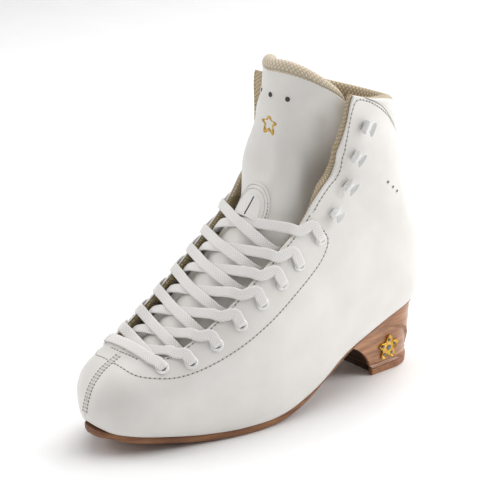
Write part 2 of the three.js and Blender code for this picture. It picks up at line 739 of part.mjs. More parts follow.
// The spare end of each half is wound up on the footbed, inside the boot.
const hank = { length: 76, width: 20.4, height: 7.4, along: -30, across: 13.5 };
const hankSlope = Math.atan(0.33);
const hankLift = footbedLow + footbedThick + gap + hank.height / 2 + 0.6;
function hankPoint(side, x, along, up) {
  const centre = new THREE.Vector3(side * hank.across, hank.along,
    through(soleLine, hank.along) + hankLift);
  const onward = new THREE.Vector3(0, Math.cos(hankSlope), Math.sin(hankSlope));
  const normal = new THREE.Vector3(0, -Math.sin(hankSlope), Math.cos(hankSlope));
  return centre.add(new THREE.Vector3(side * x, 0, 0)).addScaledVector(onward, along)
    .addScaledVector(normal, up);
}

function laceTail(side) {
  const last = eyeletCount - 1;
  const angle = eyeletAngle(last);
  return [
    upperPoint(side, angle + 0.03, eyeletLast, -6.9),
    upperPoint(side, angle + 0.12, eyeletLast, -8),
    upperPoint(side, angle + 0.3, eyeletLast + 0.15, -8.5),
    new THREE.Vector3(side * 33, -74, 100),
    new THREE.Vector3(side * 29, -72, 84),
    new THREE.Vector3(side * 25, -72, 66),
    hankPoint(side, 9, -45, 9),
    hankPoint(side, 9, -40, 2.6),
    hankPoint(side, 9, -35.3, 0.3),
  ];
}

const halfGap = 0.008;           // between the two halves, beside the first medial eyelet
const barEnd = -(eyeletAngle(0) - 0.2);
const lateralHalf = [...bar(barEnd, eyeletAngle(0) - 0.2, 8), ...intoEyelet(1, 0), ...lacing(1),
  ...laceTail(-1)];
const medialHalf = [...bar(barEnd - halfGap, barEnd - halfGap - 0.03, 1), ...intoEyelet(-1, 0),
  ...lacing(-1), ...laceTail(1)];
addMesh('lace_from_lateral', tube(lateralHalf, laceDiameter / 2, 8), lace);
addMesh('lace_from_medial', tube(medialHalf, laceDiameter / 2, 8), lace);

const aglet = { radius: 1.4, length: 22 };
for (const [name, side] of [['lateral', 1], ['medial', -1]]) {
  const straight = hank.length / 2 - hank.width / 2;
  const outline = Array.from({ length: 12 }, (_, i) => {
    const turn = Math.PI * (i % 6) / 5 + (i < 6 ? 0 : Math.PI);
    return [hank.width / 2 * Math.cos(turn),
      (i < 6 ? straight : -straight) + hank.width / 2 * Math.sin(turn)];
  });
  const level = (up) => outline.map(([x, along]) => hankPoint(side, x, along, up));
  addMesh(`lace_hank_${name}`, ringSolid([level(-hank.height / 2), level(hank.height / 2)]), lace);
  const tip = (along) => Array.from({ length: 8 }, (_, i) => {
    const turn = 2 * Math.PI * i / 8;
    return hankPoint(side, -2 + aglet.radius * Math.cos(turn), along,
      hank.height / 2 + gap + aglet.radius + aglet.radius * Math.sin(turn));
  });
  addMesh(`aglet_${name}`, ringSolid([tip(-aglet.length / 2), tip(aglet.length / 2)]), plastic);
}

export default boot;
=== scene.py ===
# %% [markdown]
# # A white figure-skating boot, left foot
#
# The frame from CAD gives every size. Each visible piece here is a finer version
# of a CAD node: the same loft of stations, sampled densely and given the edges,
# seams, stitches and surfaces that leather, lace, mesh and enamel really have.
#
# Points are worked out in millimetres with numpy, because lists of points are
# easier to reason about than strokes in edit mode, and become metres only when a
# mesh is made. Every piece then gets a material, and most a body of the frame to ride.

# %% Load the frame
import math

import bmesh
import bpy
import numpy as np
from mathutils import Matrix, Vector


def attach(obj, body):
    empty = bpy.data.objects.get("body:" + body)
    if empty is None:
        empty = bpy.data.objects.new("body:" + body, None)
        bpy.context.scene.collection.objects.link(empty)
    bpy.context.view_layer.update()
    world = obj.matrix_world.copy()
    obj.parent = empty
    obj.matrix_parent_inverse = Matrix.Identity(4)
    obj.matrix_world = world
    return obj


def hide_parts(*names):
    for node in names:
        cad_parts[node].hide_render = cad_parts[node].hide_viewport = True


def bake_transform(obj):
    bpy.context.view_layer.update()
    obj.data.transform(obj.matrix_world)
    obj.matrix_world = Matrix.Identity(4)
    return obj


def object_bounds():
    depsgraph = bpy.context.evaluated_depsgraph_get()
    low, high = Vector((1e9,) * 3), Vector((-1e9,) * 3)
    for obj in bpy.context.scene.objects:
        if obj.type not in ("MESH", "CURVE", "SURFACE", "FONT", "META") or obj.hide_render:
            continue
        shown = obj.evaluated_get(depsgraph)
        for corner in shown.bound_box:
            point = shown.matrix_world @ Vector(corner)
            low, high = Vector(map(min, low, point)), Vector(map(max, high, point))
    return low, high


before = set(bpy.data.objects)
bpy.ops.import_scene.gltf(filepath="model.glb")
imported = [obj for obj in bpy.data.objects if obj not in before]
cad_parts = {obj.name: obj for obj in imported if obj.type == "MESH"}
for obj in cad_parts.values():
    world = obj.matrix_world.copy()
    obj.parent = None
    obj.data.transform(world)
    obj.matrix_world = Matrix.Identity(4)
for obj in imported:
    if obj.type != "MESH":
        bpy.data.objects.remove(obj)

cad_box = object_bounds()
MM = 0.001
print("CAD box", [round(c, 4) for corner in cad_box for c in corner])

# %% [markdown]
# ## Camera
#
# The boot is seen from the front and its outer side, from a little above, with
# a long lens, so the toe and the heel keep nearly the same scale.

# %% Camera
AZIMUTH = math.radians(49.89)
ELEVATION = math.radians(19.51)
LENS_MM = 108.9


def placed(name, data):
    """A new object with this data, in the scene."""
    made = bpy.data.objects.new(name, data)
    bpy.context.scene.collection.objects.link(made)
    return made


camera = placed("camera", bpy.data.cameras.new("camera"))
camera.data.lens = LENS_MM
camera.data.sensor_width = 36.0
camera.data.clip_start = 0.05
camera.location = (0.7127, -0.7138, 0.4368)
camera.rotation_euler = (math.pi / 2 - ELEVATION, 0.0, AZIMUTH)
bpy.context.scene.camera = camera
print("camera at", tuple(camera.location))

# %% [markdown]
# ## The last: one loft for the whole boot
#
# A boot is pulled over a last, so every layer is an offset of one surface. The
# stations run from the toe tip (0) to the cuff (15). Each has the ends of its
# front and its sole line, half widths, a sideways shift and the height of its
# widest level. A turn of 0 is the front line, and pi the edge of the sole.

# %% Stations
STATIONS = np.array([
    # top y, top z, foot y, foot z, half, sole, shift, belly
    [-245, 27, -245, 27, 0, 0, -2.5, 0.45],
    [-240, 43, -236, 17, 17, 11, -4, 0.45],
    [-230, 53, -224, 13.5, 29, 22, -5, 0.45],
    [-216, 60, -206, 10.5, 37, 30, -5, 0.44],
    [-196, 72, -179, 6.5, 42.5, 37, -4, 0.43],
    [-172, 92, -150, 5, 46, 41, -1, 0.43],
    [-149, 115.5, -121, 6.5, 47.5, 41, 1.5, 0.43],
    [-130, 137.5, -90, 16, 47, 38.5, 2, 0.43],
    [-115, 157, -60, 31, 46, 35.5, 1, 0.44],
    [-110, 174, -25, 43, 46, 34, 0, 0.45],
    [-108, 186, 8, 51, 46, 29, -1, 0.46],
    [-108, 192, 22, 58.5, 45.5, 14, -1, 0.46],
    [-108.5, 196, 27, 85, 46, 0, -1, 0.47],
    [-109, 204.5, 14, 128, 46.5, 0, -1, 0.5],
    [-109.5, 213.5, 1.5, 169, 47.5, 0, -1.5, 0.52],
    [-112, 224.5, -2, 192, 48, 0, -1.5, 0.54],
])
LAST_STATION = len(STATIONS) - 1
before_toe = STATIONS[1][[2, 3, 0, 1, 4, 5, 6, 7]] * [1, 1, 1, 1, -1, -1, 1, 1]
past_cuff = 2 * STATIONS[-1] - STATIONS[-2]
PADDED = np.vstack([before_toe, STATIONS, past_cuff])
ROUNDNESS = 2 / 2.15                # exponent that makes each section a superellipse
MARGIN = 14.0                       # leather turned in under the foot, in mm
print(len(STATIONS), "stations")


# %% Curves through the stations
def unit(vectors):
    """The same directions, each with length 1."""
    return vectors / np.linalg.norm(vectors, axis=-1, keepdims=True)


def around(count):
    """Evenly spaced angles round a circle."""
    return np.linspace(0, 2 * math.pi, count, endpoint=False)


def run_of(points, axis=0):
    """How far along its row or column each point lies, from 0 at its start."""
    steps = np.linalg.norm(np.diff(points, axis=axis), axis=-1)
    return np.insert(np.cumsum(steps, axis=axis), 0, 0.0, axis=axis)


def extended(points):
    """The points with one more past each end, in line with the last two."""
    return np.vstack([2 * points[0] - points[1], points, 2 * points[-1] - points[-2]])


def between(corners, t):
    """A smooth curve's points between the middle two of four corners, by share t."""
    p0, p1, p2, p3 = corners
    return 0.5 * (2 * p1 + (p2 - p0) * t + (2 * p0 - 5 * p1 + 4 * p2 - p3) * t**2
                  + (3 * p1 - p0 - 3 * p2 + p3) * t**3)


def through(pairs, x):
    """A cubic through (x, y) pairs, held flat past both ends."""
    xs, ys = np.array(pairs, float).T
    slopes = np.empty_like(ys)
    slopes[1:-1] = (ys[2:] - ys[:-2]) / (xs[2:] - xs[:-2])
    slopes[0] = (ys[1] - ys[0]) / (xs[1] - xs[0])
    slopes[-1] = (ys[-1] - ys[-2]) / (xs[-1] - xs[-2])
    x = np.clip(np.asarray(x, float), xs[0], xs[-1])
    i = np.clip(np.searchsorted(xs, x, side="left") - 1, 0, len(xs) - 2)
    width = xs[i + 1] - xs[i]
    t = (x - xs[i]) / width
    rise = ys[i + 1] - ys[i]
    s0 = slopes[i] * width
    s1 = slopes[i + 1] * width
    return ys[i] + t * s0 + t**2 * (3 * rise - 2 * s0 - s1) + t**3 * (s0 + s1 - 2 * rise)


def section(v):
    """The station row at each number v, between the stations too."""
    v = np.asarray(v, float)
    i = np.clip(np.floor(v).astype(int), 0, LAST_STATION - 1)
    return between([PADDED[i + k] for k in range(4)], (v - i)[..., None])


def on_section(row, side, angle):
    """Points of a section, in mm, at an angle on one side."""
    top_y, top_z, foot_y, foot_z, half, sole, shift, belly = np.moveaxis(row, -1, 0)
    turn = np.minimum(angle, math.pi)
    sine = np.maximum(np.sin(turn), 0) ** ROUNDNESS
    cosine = np.abs(np.cos(turn)) ** ROUNDNESS
    upper = turn <= math.pi / 2
    across = np.where(upper, half * sine, sole + (half - sole) * sine)
    up = np.where(upper, belly + (1 - belly) * cosine, belly * (1 - cosine))
    tucked = sole - (angle - math.pi) * np.minimum(sole, MARGIN)
    across = np.where(angle > math.pi, tucked, across)
    return np.stack([shift + side * across, foot_y + (top_y - foot_y) * up,
                     foot_z + (top_z - foot_z) * up], axis=-1)


def skin(turn, v, lift=0.0, rows=section, clear=0.0):
    """Points lifted off a lofted surface, and its normals. Turns below 0 are medial."""
    turn, v, lift = np.broadcast_arrays(*(np.asarray(a, float) for a in (turn, v, lift)))
    side = np.where(turn < 0, -1.0, 1.0)
    angle = np.abs(turn)
    step = 0.01

    def at(a, w):
        return on_section(rows(w), side, a)

    across = at(angle + step, v) - at(np.maximum(angle - step, 0.001), v)
    onward = at(angle, v + step) - at(angle, np.maximum(v - step, 0.002))
    normal = np.cross(across, onward) * side[..., None]
    normal /= np.maximum(np.linalg.norm(normal, axis=-1, keepdims=True), 1e-9)
    normal = np.where((v < 0.01)[..., None], np.array([0.0, -1.0, 0.0]), normal)
    point = at(angle, v) + normal * lift[..., None]
    middle = rows(v)[..., 6]
    point[..., 0] = middle + side * np.maximum(side * (point[..., 0] - middle), clear)
    return point, normal


THROAT = [
    (3.25, 0), (3.33, 0.26), (3.45, 0.45), (3.65, 0.6), (3.9, 0.68), (5, 0.74), (6, 0.765),
    (7, 0.83), (8, 0.905), (8.9, 0.942), (10, 0.982), (12.2, 1.05), (13.1, 1.19), (13.9, 1.32),
    (14.7, 1.42), (15, 1.47),
]


def throat(v):
    """Half opening of the throat, as an angle."""
    return np.where(np.asarray(v) < THROAT[0][0], 0.0, through(THROAT, v))


LEATHER = 3.2
GAP = 0.3
LINING_TOP = LEATHER + GAP
LINING_BACK = LINING_TOP + 1.5
TONGUE_DEPTH = [(2.9, 5.6), (3.3, 8), (3.7, 10), (6, 10.2), (7, 11), (8, 11), (9, 10), (12, 10),
                (13, 11), (14, 12.5), (15, 15)]
TONGUE_SIDE = [(2.9, 5.6), (3.3, 8), (3.7, 10), (7, 10), (8, 12), (9, 14), (10, 14.5),
               (11, 13.5), (12, 12), (13, 10.5), (14, 9.5), (15, 9)]
TONGUE_EDGE = [(2.9, 0.5), (4, 0.9), (6, 1.0), (8, 1.08), (9, 1.2), (10, 1.3), (12, 1.35),
               (15, 1.38)]


def tongue_section(v):
    """The tongue's rows: the same loft with its front line and sides moved in."""
    row = section(v)
    run = unit((section(np.asarray(v) + 0.05) - section(np.asarray(v) - 0.05))[..., :2])
    depth = through(TONGUE_DEPTH, v)
    row[..., 0] += run[..., 1] * depth
    row[..., 1] -= run[..., 0] * depth
    row[..., 4] -= through(TONGUE_SIDE, v)
    row[..., 5] = np.minimum(row[..., 5], row[..., 4])
    return row


print("throat edge at the cuff", np.round(skin(throat(15.0), 15.0)[0], 1), "mm")

# %% [markdown]
# ## Meshes from rings and grids
#
# Every soft layer is a grid of points with a thickness, and every tube a stack of
# rings. A solidify modifier could thicken a sheet too, but two grids let the inner
# face follow its own rule, as where the leather is skived. Soft pieces also carry their
# lengths in metres as a UV map, so that a weave runs along them at its real size.


# %% Mesh helpers
def smooth_mesh(name, points, faces, uvs=None):
    """An object from points in mm, shaded smooth, with its faces turned out."""
    mesh = bpy.data.meshes.new(name)
    mesh.from_pydata((np.asarray(points) * MM).tolist(), [], faces)
    if uvs is not None:
        layer = mesh.uv_layers.new(name="lengths")
        corners = np.empty(len(mesh.loops), np.int32)
        mesh.loops.foreach_get("vertex_index", corners)
        layer.data.foreach_set("uv", (np.asarray(uvs)[corners] * MM).astype(np.float32).ravel())
    work = bmesh.new()
    work.from_mesh(mesh)
    bmesh.ops.remove_doubles(work, verts=work.verts, dist=2e-6)
    bmesh.ops.dissolve_degenerate(work, edges=work.edges, dist=1e-6)
    bmesh.ops.recalc_face_normals(work, faces=work.faces)
    work.to_mesh(mesh)
    work.free()
    mesh.polygons.foreach_set("use_smooth", [True] * len(mesh.polygons))
    return placed(name, mesh)


def lengths(grid):
    """How far along each row and column a grid's points lie, in mm."""
    along, across = run_of(grid, 0), run_of(grid, 1)
    middle = across[:, grid.shape[1] // 2, None]
    return np.stack([across - middle, along.mean(axis=1, keepdims=True) + 0 * along], axis=-1)


def sheet_piece(name, outer, inner):
    """A closed sheet between two grids of points of the same size."""
    rows, cols = outer.shape[:2]
    shift = rows * cols
    here = np.arange(shift).reshape(rows, cols)
    under = here + shift
    quads = [np.stack([g[:-1, :-1], g[:-1, 1:], g[1:, 1:], g[1:, :-1]], -1).reshape(-1, 4)
             for g in (here, under[:, ::-1])]
    loop = np.concatenate([here[0, :-1], here[:-1, -1], here[-1, :0:-1], here[:0:-1, 0]])
    ahead = np.roll(loop, -1)
    quads.append(np.stack([loop, loop + shift, ahead + shift, ahead], -1))
    points = np.concatenate([outer.reshape(-1, 3), inner.reshape(-1, 3)])
    uvs = np.concatenate([lengths(outer).reshape(-1, 2)] * 2)
    return smooth_mesh(name, points, np.concatenate(quads).tolist(), uvs)


def tube_faces(count, sides, first=0):
    """The faces of a stack of rings, with its two ends capped."""
    here = np.arange(count * sides).reshape(count, sides) + first
    ahead = np.roll(here, -1, axis=1)
    quads = np.stack([here[:-1], ahead[:-1], ahead[1:], here[1:]], -1).reshape(-1, 4).tolist()
    return quads + [here[0, ::-1].tolist(), here[-1].tolist()]


def tube_piece(name, rings, uvs=None):
    """A closed body through rings of points."""
    rings = np.asarray(rings)
    return smooth_mesh(name, rings.reshape(-1, 3), tube_faces(*rings.shape[:2]), uvs)


def cloth_tube(name, rings):
    """A tube whose UV map holds its own lengths, for a weave to follow."""
    return tube_piece(name, rings, lengths(np.array(rings)).reshape(-1, 2))


def ring_piece(name, rings):
    """A ring body: its rings close on themselves, and the last one on the first."""
    rings = np.asarray(rings)
    here = np.arange(rings.shape[0] * rings.shape[1]).reshape(rings.shape[:2])
    ahead, onward = np.roll(here, -1, axis=1), np.roll(here, -1, axis=0)
    both = np.roll(ahead, -1, axis=0)
    faces = np.stack([here, ahead, both, onward], -1).reshape(-1, 4).tolist()
    return smooth_mesh(name, rings.reshape(-1, 3), faces)


def merged(name, bodies):
    """Several tubes in one object."""
    points, faces, first = [], [], 0
    for rings in bodies:
        rings = np.asarray(rings)
        faces += tube_faces(*rings.shape[:2], first)
        points.append(rings.reshape(-1, 3))
        first += len(points[-1])
    return smooth_mesh(name, np.concatenate(points), faces)


def disc(base, axes, radius, height, count=24, x=0.0, y=0.0):
    """A circle of points in a seat's own directions."""
    turn = around(count)
    local = [x + radius * np.cos(turn), y + radius * np.sin(turn), 0 * turn + height]
    return base + np.stack(local, axis=1) @ axes


def squared(wave, power):
    """A sine or cosine that stays longer near its ends, to square off an oval."""
    return np.sign(wave) * np.abs(wave) ** power


def rounded(distance, radius):
    """How far a rounded edge falls back at a distance from the edge."""
    inside = np.clip(1 - distance / radius, 0, 1)
    return radius * (1 - np.sqrt(1 - inside**2))


def smoothstep(x, low=0.0, high=1.0):
    """0 up to low, 1 from high on, and an S-shaped rise between them."""
    t = np.clip((x - low) / (high - low), 0, 1)
    return t * t * (3 - 2 * t)


print("mesh helpers ready")

# %% [markdown]
# ## Materials
#
# One function turns a sRGB hex colour to linear, one adds a node with its settings
# and links, and two make the parts that most finishes share: a colour that goes
# between two tones, and a bump of a real depth. Nodes are used and not pictures,
# because they stay sharp at any distance and every scale in them is in mm.


# %% Material helpers
def linear(code):
    """A sRGB hex colour as linear RGBA."""
    channels = [int(code[i:i + 2], 16) / 255 for i in (1, 3, 5)]
    return (*[c / 12.92 if c <= 0.04045 else ((c + 0.055) / 1.055) ** 2.4 for c in channels], 1)


def add(tree, kind, inputs=(), **settings):
    """A node with its settings; an input may be a value or another node's socket."""
    made = tree.nodes.new(kind)
    for key, value in settings.items():
        setattr(made, key, value)
    for key, value in dict(inputs).items():
        if isinstance(value, bpy.types.NodeSocket):
            tree.links.new(value, made.inputs[key])
        else:
            made.inputs[key].default_value = value
    return made


def new_material(name, **sockets):
    """A material, its node tree and its shader, with values on the shader's sockets."""
    material = bpy.data.materials.new(name)
    material.use_nodes = True
    tree = material.node_tree
    shader = tree.nodes["Principled BSDF"]
    for key, value in sockets.items():
        shader.inputs[key.replace("_", " ")].default_value = value
    return material, tree, shader


def two_tones(tree, shader, factor, dark, light, low=0.0, high=1.0):
    """Colours the shader from dark to light as a factor goes from low to high."""
    tint = add(tree, "ShaderNodeValToRGB", {"Fac": factor})
    for element, position, tone in zip(tint.color_ramp.elements, (low, high), (dark, light)):
        element.position = position
        element.color = linear(tone)
    tree.links.new(tint.outputs["Color"], shader.inputs["Base Color"])


def raised(tree, shader, height, strength, depth, *under):
    """Bumps the shader's normal by a depth in mm, over another bump if one is given."""
    bump = add(tree, "ShaderNodeBump", {"Height": height, "Strength": strength,
                                        "Distance": depth * MM,
                                        **{"Normal": normal for normal in under}})
    tree.links.new(bump.outputs["Normal"], shader.inputs["Normal"])
    return bump.outputs["Normal"]


# %% [markdown]
# ### White box-calf leather
#
# Full-grain leather with a white finish: a semi-gloss skin over very fine pores.
# Pores are 0.2 mm apart, too fine to show, so the grain is drawn at 0.9 mm, and
# a slow roll 22 mm long gives the soft unevenness of hide pulled over a last.
# Roughness from 0.36 to 0.46 makes the broad, soft highlight of finished calf, and
# its change from pore to pore breaks that highlight up, so it doesn't look like
# plastic. An IOR of 1.5 is that of the clear finish on top.

# %% White leather
PORE = 0.9 * MM
ROLL = 22 * MM
white_leather, tree, shader = new_material("white_calf_leather", Roughness=0.4, IOR=1.5)
shader.inputs["Sheen Weight"].default_value = 0.05
place = add(tree, "ShaderNodeTexCoord")
mottle = add(tree, "ShaderNodeTexNoise", {"Vector": place.outputs["Object"], "Scale": 1 / ROLL,
                                          "Detail": 3.0})
two_tones(tree, shader, mottle.outputs["Fac"], "#E1DED9", "#E8E5E1", 0.3, 0.7)
pores = add(tree, "ShaderNodeTexVoronoi", {"Vector": place.outputs["Object"], "Scale": 1 / PORE})
grain = raised(tree, shader, pores.outputs["Distance"], 0.25, 0.05)
raised(tree, shader, mottle.outputs["Fac"], 0.5, 0.35, grain)
gloss = add(tree, "ShaderNodeMapRange", {"Value": pores.outputs["Distance"], "To Min": 0.36,
                                         "To Max": 0.46})
tree.links.new(gloss.outputs["Result"], shader.inputs["Roughness"])
print("white leather: pores", PORE, "roll", ROLL)

# %% [markdown]
# ### Spacer mesh
#
# The lining, the collar and the roll are a knitted polyester spacer mesh with
# pores about 2.4 mm apart. The knit is two waves that cross at about 50 degrees to
# either side of the piece's own lengths, so the pores follow the cloth. Loose
# fibres scatter light, so the roughness is 0.85 and a sheen lightens the edges.


# %% Spacer mesh
WAVE = 0.314                        # length of one band of a wave texture at scale 1


def spacer_mesh(name, light, dark, pore):
    """A knitted mesh: crossed waves make its pores, and they darken and sink."""
    material, tree, shader = new_material(name, Roughness=0.85, IOR=1.5)
    shader.inputs["Sheen Weight"].default_value = 0.3
    shader.inputs["Sheen Roughness"].default_value = 0.5
    place = add(tree, "ShaderNodeTexCoord")
    waves = []
    for turn in (0.9, -0.9):
        turned = add(tree, "ShaderNodeMapping", {"Vector": place.outputs["UV"],
                                                 "Rotation": (0, 0, turn)})
        waves.append(add(tree, "ShaderNodeTexWave", {
            "Vector": turned.outputs["Vector"], "Scale": WAVE / pore, "Distortion": 0.6,
            "Detail": 1.0}))
    knit = add(tree, "ShaderNodeMath", {0: waves[0].outputs["Fac"], 1: waves[1].outputs["Fac"]},
               operation="MULTIPLY")
    two_tones(tree, shader, knit.outputs["Value"], dark, light, 0.02, 0.3)
    raised(tree, shader, knit.outputs["Value"], 0.7, 0.5)
    return material


beige_mesh = spacer_mesh("beige_spacer_mesh", "#CDBDA2", "#A08C6C", 2.4 * MM)
cream_mesh = spacer_mesh("cream_spacer_mesh", "#DDD0BC", "#B8A88C", 2.0 * MM)
tan_lining = spacer_mesh("tan_perforated_lining", "#B7A37C", "#75653F", 1.9 * MM)
print("three spacer meshes")

# %% [markdown]
# ### Flat lace
#
# A flat tubular polyester lace, 7 mm wide. Its chevron weave repeats every
# 1.2 mm along the lace, which is coarser than the real 0.5 mm, or it would not
# show. The long ribs are in the mesh itself. Bright yarn has a satin look, so the
# roughness is a little lower than that of the mesh.

# %% Lace
LACE_WEAVE = 1.2 * MM
lace_weave, tree, shader = new_material("white_polyester_lace", Roughness=0.78, IOR=1.5)
shader.inputs["Sheen Weight"].default_value = 0.25
place = add(tree, "ShaderNodeTexCoord")
apart = add(tree, "ShaderNodeSeparateXYZ", {"Vector": place.outputs["UV"]})
fold = add(tree, "ShaderNodeMath", {0: apart.outputs["X"]}, operation="ABSOLUTE")
slant = add(tree, "ShaderNodeCombineXYZ", {"X": fold.outputs["Value"], "Y": apart.outputs["Y"]})
bent = add(tree, "ShaderNodeMapping", {"Vector": slant.outputs["Vector"],
                                       "Rotation": (0, 0, 0.7)})
picks = add(tree, "ShaderNodeTexWave", {"Vector": bent.outputs["Vector"],
                                        "Scale": WAVE / LACE_WEAVE})
two_tones(tree, shader, picks.outputs["Fac"], "#DDDAD6", "#F0EEEB")
raised(tree, shader, picks.outputs["Fac"], 0.5, 0.15)
print("lace weave", LACE_WEAVE)

# %% [markdown]
# ### Hard finishes
#
# Baked white enamel on the eyelets and hooks, polished gold plate on the rosette,
# stitching thread, the lacquered heel, the oiled edge of the outsole, fibre board
# and spring steel inside, and clear plastic on the lace tips. Each one wanders
# between two near tones over a few mm, because no real finish has one flat colour.
# The white thread is greyed, and the needle holes and the heel's breast are darkened,
# as painted shade.
#
# The roughness tells them apart. Enamel at 0.22 with a clear coat has small bright
# highlights, plate at 0.22 mirrors its surroundings, lacquer over leather at 0.33
# shines through its coat, oiled leather at 0.5 has a dull glow, and board at 0.9 has
# no highlight at all. Lifts and sole show their layers, so their tones are drawn
# out along them.


# %% Hard finishes
def mottled(name, dark, light, size, stretch=(1, 1, 1), depth=0.0, **sockets):
    """A finish whose colour wanders between two tones over a real size."""
    material, tree, shader = new_material(name, **sockets)
    place = add(tree, "ShaderNodeTexCoord")
    drawn = add(tree, "ShaderNodeMapping", {"Vector": place.outputs["Object"], "Scale": stretch})
    noise = add(tree, "ShaderNodeTexNoise", {"Vector": drawn.outputs["Vector"],
                                             "Scale": 1 / (size * MM), "Detail": 4.0})
    two_tones(tree, shader, noise.outputs["Fac"], dark, light, 0.35, 0.65)
    if depth:
        raised(tree, shader, noise.outputs["Fac"], 0.5, depth)
    return material


white_enamel = mottled("white_baked_enamel", "#E0E0DE", "#F2F2F0", 6, Roughness=0.22, IOR=1.5,
                       Coat_Weight=0.4)
gold_plate = mottled("polished_gold_plate", "#C8952F", "#E6C065", 3, depth=0.05, Roughness=0.22,
                     Metallic=1.0)
gold_foil = mottled("stamped_gold_foil", "#BC8F3A", "#D9B45E", 2, depth=0.04, Roughness=0.35,
                    Metallic=0.85)
# Stitching thread is white. Its grey tones here are painted shade, for stitches sunk in the
# leather.
thread = mottled("white_thread_with_painted_shade", "#B7B3AB", "#CFCBC4", 1, Roughness=0.6, IOR=1.5)
hole_shade = mottled("punched_hole_shadow", "#3A3733", "#55514B", 1, Roughness=0.9)
# The needle holes are real. Their dark tone is painted shade.
needle_prick_shade = mottled("needle_prick_painted_shade", "#5E5A54", "#7A756E", 1, Roughness=0.9)
heel_lacquer = mottled("lacquered_stacked_heel", "#8E5A38", "#BE8A60", 9, (0.35, 0.35, 2.4),
                       0.06, Roughness=0.33, IOR=1.5, Coat_Weight=0.35, Coat_Roughness=0.15)
# The heel's hollow breast is painted dark: painted shade under the arch.
breast_painted_shade = mottled("heel_breast_painted_shade", "#33200F", "#4A3018", 5, Roughness=0.6)
heel_rubber = mottled("brown_moulded_rubber", "#8E5C3C", "#A87850", 5, Roughness=0.5, IOR=1.52)
sole_edge = mottled("oiled_sole_leather", "#70452A", "#946540", 7, (0.3, 0.3, 3), 0.1,
                    Roughness=0.5, IOR=1.5)
fibre_board = mottled("pressed_fibre_board", "#A98C66", "#C2A67E", 1.5, depth=0.1, Roughness=0.9)
spring_steel = mottled("rolled_spring_steel", "#8E9094", "#A6A8AC", 4, (1, 0.1, 1),
                       Roughness=0.35, Metallic=1.0)
clear_plastic = mottled("clear_shrunk_plastic", "#D8D9DC", "#ECEDF0", 4, Roughness=0.15,
                        IOR=1.5)
crystal = mottled("cut_glass_crystal", "#2B2B30", "#8C8C96", 0.6, Roughness=0.05, IOR=1.6,
                  Coat_Weight=1.0)
print(len(bpy.data.materials), "materials")


def dress(piece, material, body="boot", shown_for=()):
    """Gives a finished piece its material and the body it rides on."""
    piece.data.materials.append(material)
    if body:
        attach(piece, body)
    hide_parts(*shown_for)
    return piece


# %% [markdown]
# ## The lace
#
# One flat lace laces the boot. It is stored as two halves that meet beside the
# first medial eyelet. Each half dives through its eyelets, runs under one facing,
# crosses the tongue, and climbs over the other facing. The spare end of each half
# is wound on the footbed, standing on edge, and ends in its aglet.
#
# A curve with a bevel could carry it, but its twist is hard to hold. So each knot
# of the route says where the lace is, which way its flat side faces and how wide
# it is, and the ribbon is drawn through the knots.

# %% Lace route: sizes shared with the CAD route
EYELETS = 8
EYELET_FIRST = 3.51
EYELET_PITCH = 0.648
EYELET_LAST = 8.34
EYELET_INSET = 0.262
LACE_HALF = 3.5
LACE_THICK = 1.5
UNDER = LINING_BACK + 1.1
TURN_MM = 44.0                      # about how many mm one radian of the throat is
NUDGE = 0.02                        # a small turn, to find a direction with


def eyelet_station(i):
    """How far along the boot an eyelet is; the last one is set a little apart."""
    return EYELET_LAST if i == EYELETS - 1 else EYELET_FIRST + EYELET_PITCH * i


def eyelet_angle(i):
    """How far round an eyelet is: the throat's edge and the inset of the row."""
    return float(throat(eyelet_station(i))) + EYELET_INSET


def lace_dip(i):
    """How far a crossing sags towards the toe, in stations; higher ones sag more."""
    return 0.15 + 0.137 * i


def spot(turn, v, lift, half=LACE_HALF, dive=0.0):
    """One knot of the route: point, flat side's normal and half width. Where the
    lace dives through a hole, the flat side faces away from the throat."""
    point, normal = skin(turn, v, lift)
    if dive:
        beside = unit(skin(turn + NUDGE * math.copysign(1, turn), v, lift)[0] - point)
        normal = normal * (1 - dive) + beside * dive
    return np.concatenate([point, unit(normal), [half]])


def into_eyelet(side, i):
    """Over the facing from the throat, and down through the ring."""
    a, v = eyelet_angle(i), eyelet_station(i)
    knots = [(-0.15, 1.2, 3.6, 0), (-0.07, 1.8, 3.6, 0), (-0.01, 1.8, 3.2, 0.35),
             (0.018, 0.6, 2.4, 0.9), (0.0, -2.5, 1.9, 1), (0.0, -5.4, 2.0, 1)]
    return [spot(side * (a + turn), v, lift, half, dive) for turn, lift, half, dive in knots]


def crossing(side, i, over):
    """From inside eyelet i, under its facing, over the tongue and the other facing."""
    start, end = eyelet_angle(i), eyelet_angle(i + 1)
    edge0, edge1 = float(throat(eyelet_station(i))), float(throat(eyelet_station(i + 1)))

    def at(turn, lift_at, half=LACE_HALF):
        share = (turn + start) / (start + end)
        flat = 1 - (turn / (start if turn < 0 else end)) ** 2
        v = (eyelet_station(i) + (eyelet_station(i + 1) - eyelet_station(i)) * share
             - lace_dip(i) * flat)
        return spot((-side if turn >= 0 else side) * abs(turn), v, lift_at(v), half)

    def on_tongue(v):
        return -float(through(TONGUE_DEPTH, v)) + 1.1 + (1.75 if over else 0)

    return [
        spot(side * (start - 0.04), eyelet_station(i), -UNDER - 0.1, 2.8),
        spot(side * (start - 0.12), eyelet_station(i), -UNDER, 3.2),
        at(-edge0 + 0.05, lambda v: -UNDER),
        at(-edge0 * 0.5, lambda v: (on_tongue(v) - UNDER) / 2 + 0.3),
        at(-0.1, on_tongue),
        at(0.1, on_tongue),
        at(edge1 * 0.5, lambda v: on_tongue(v) + (1.3 if over else 1.9)),
        at(edge1 - 0.1, lambda v: 0.6),
        at(edge1, lambda v: 1.05),
        *into_eyelet(-side, i + 1),
    ]


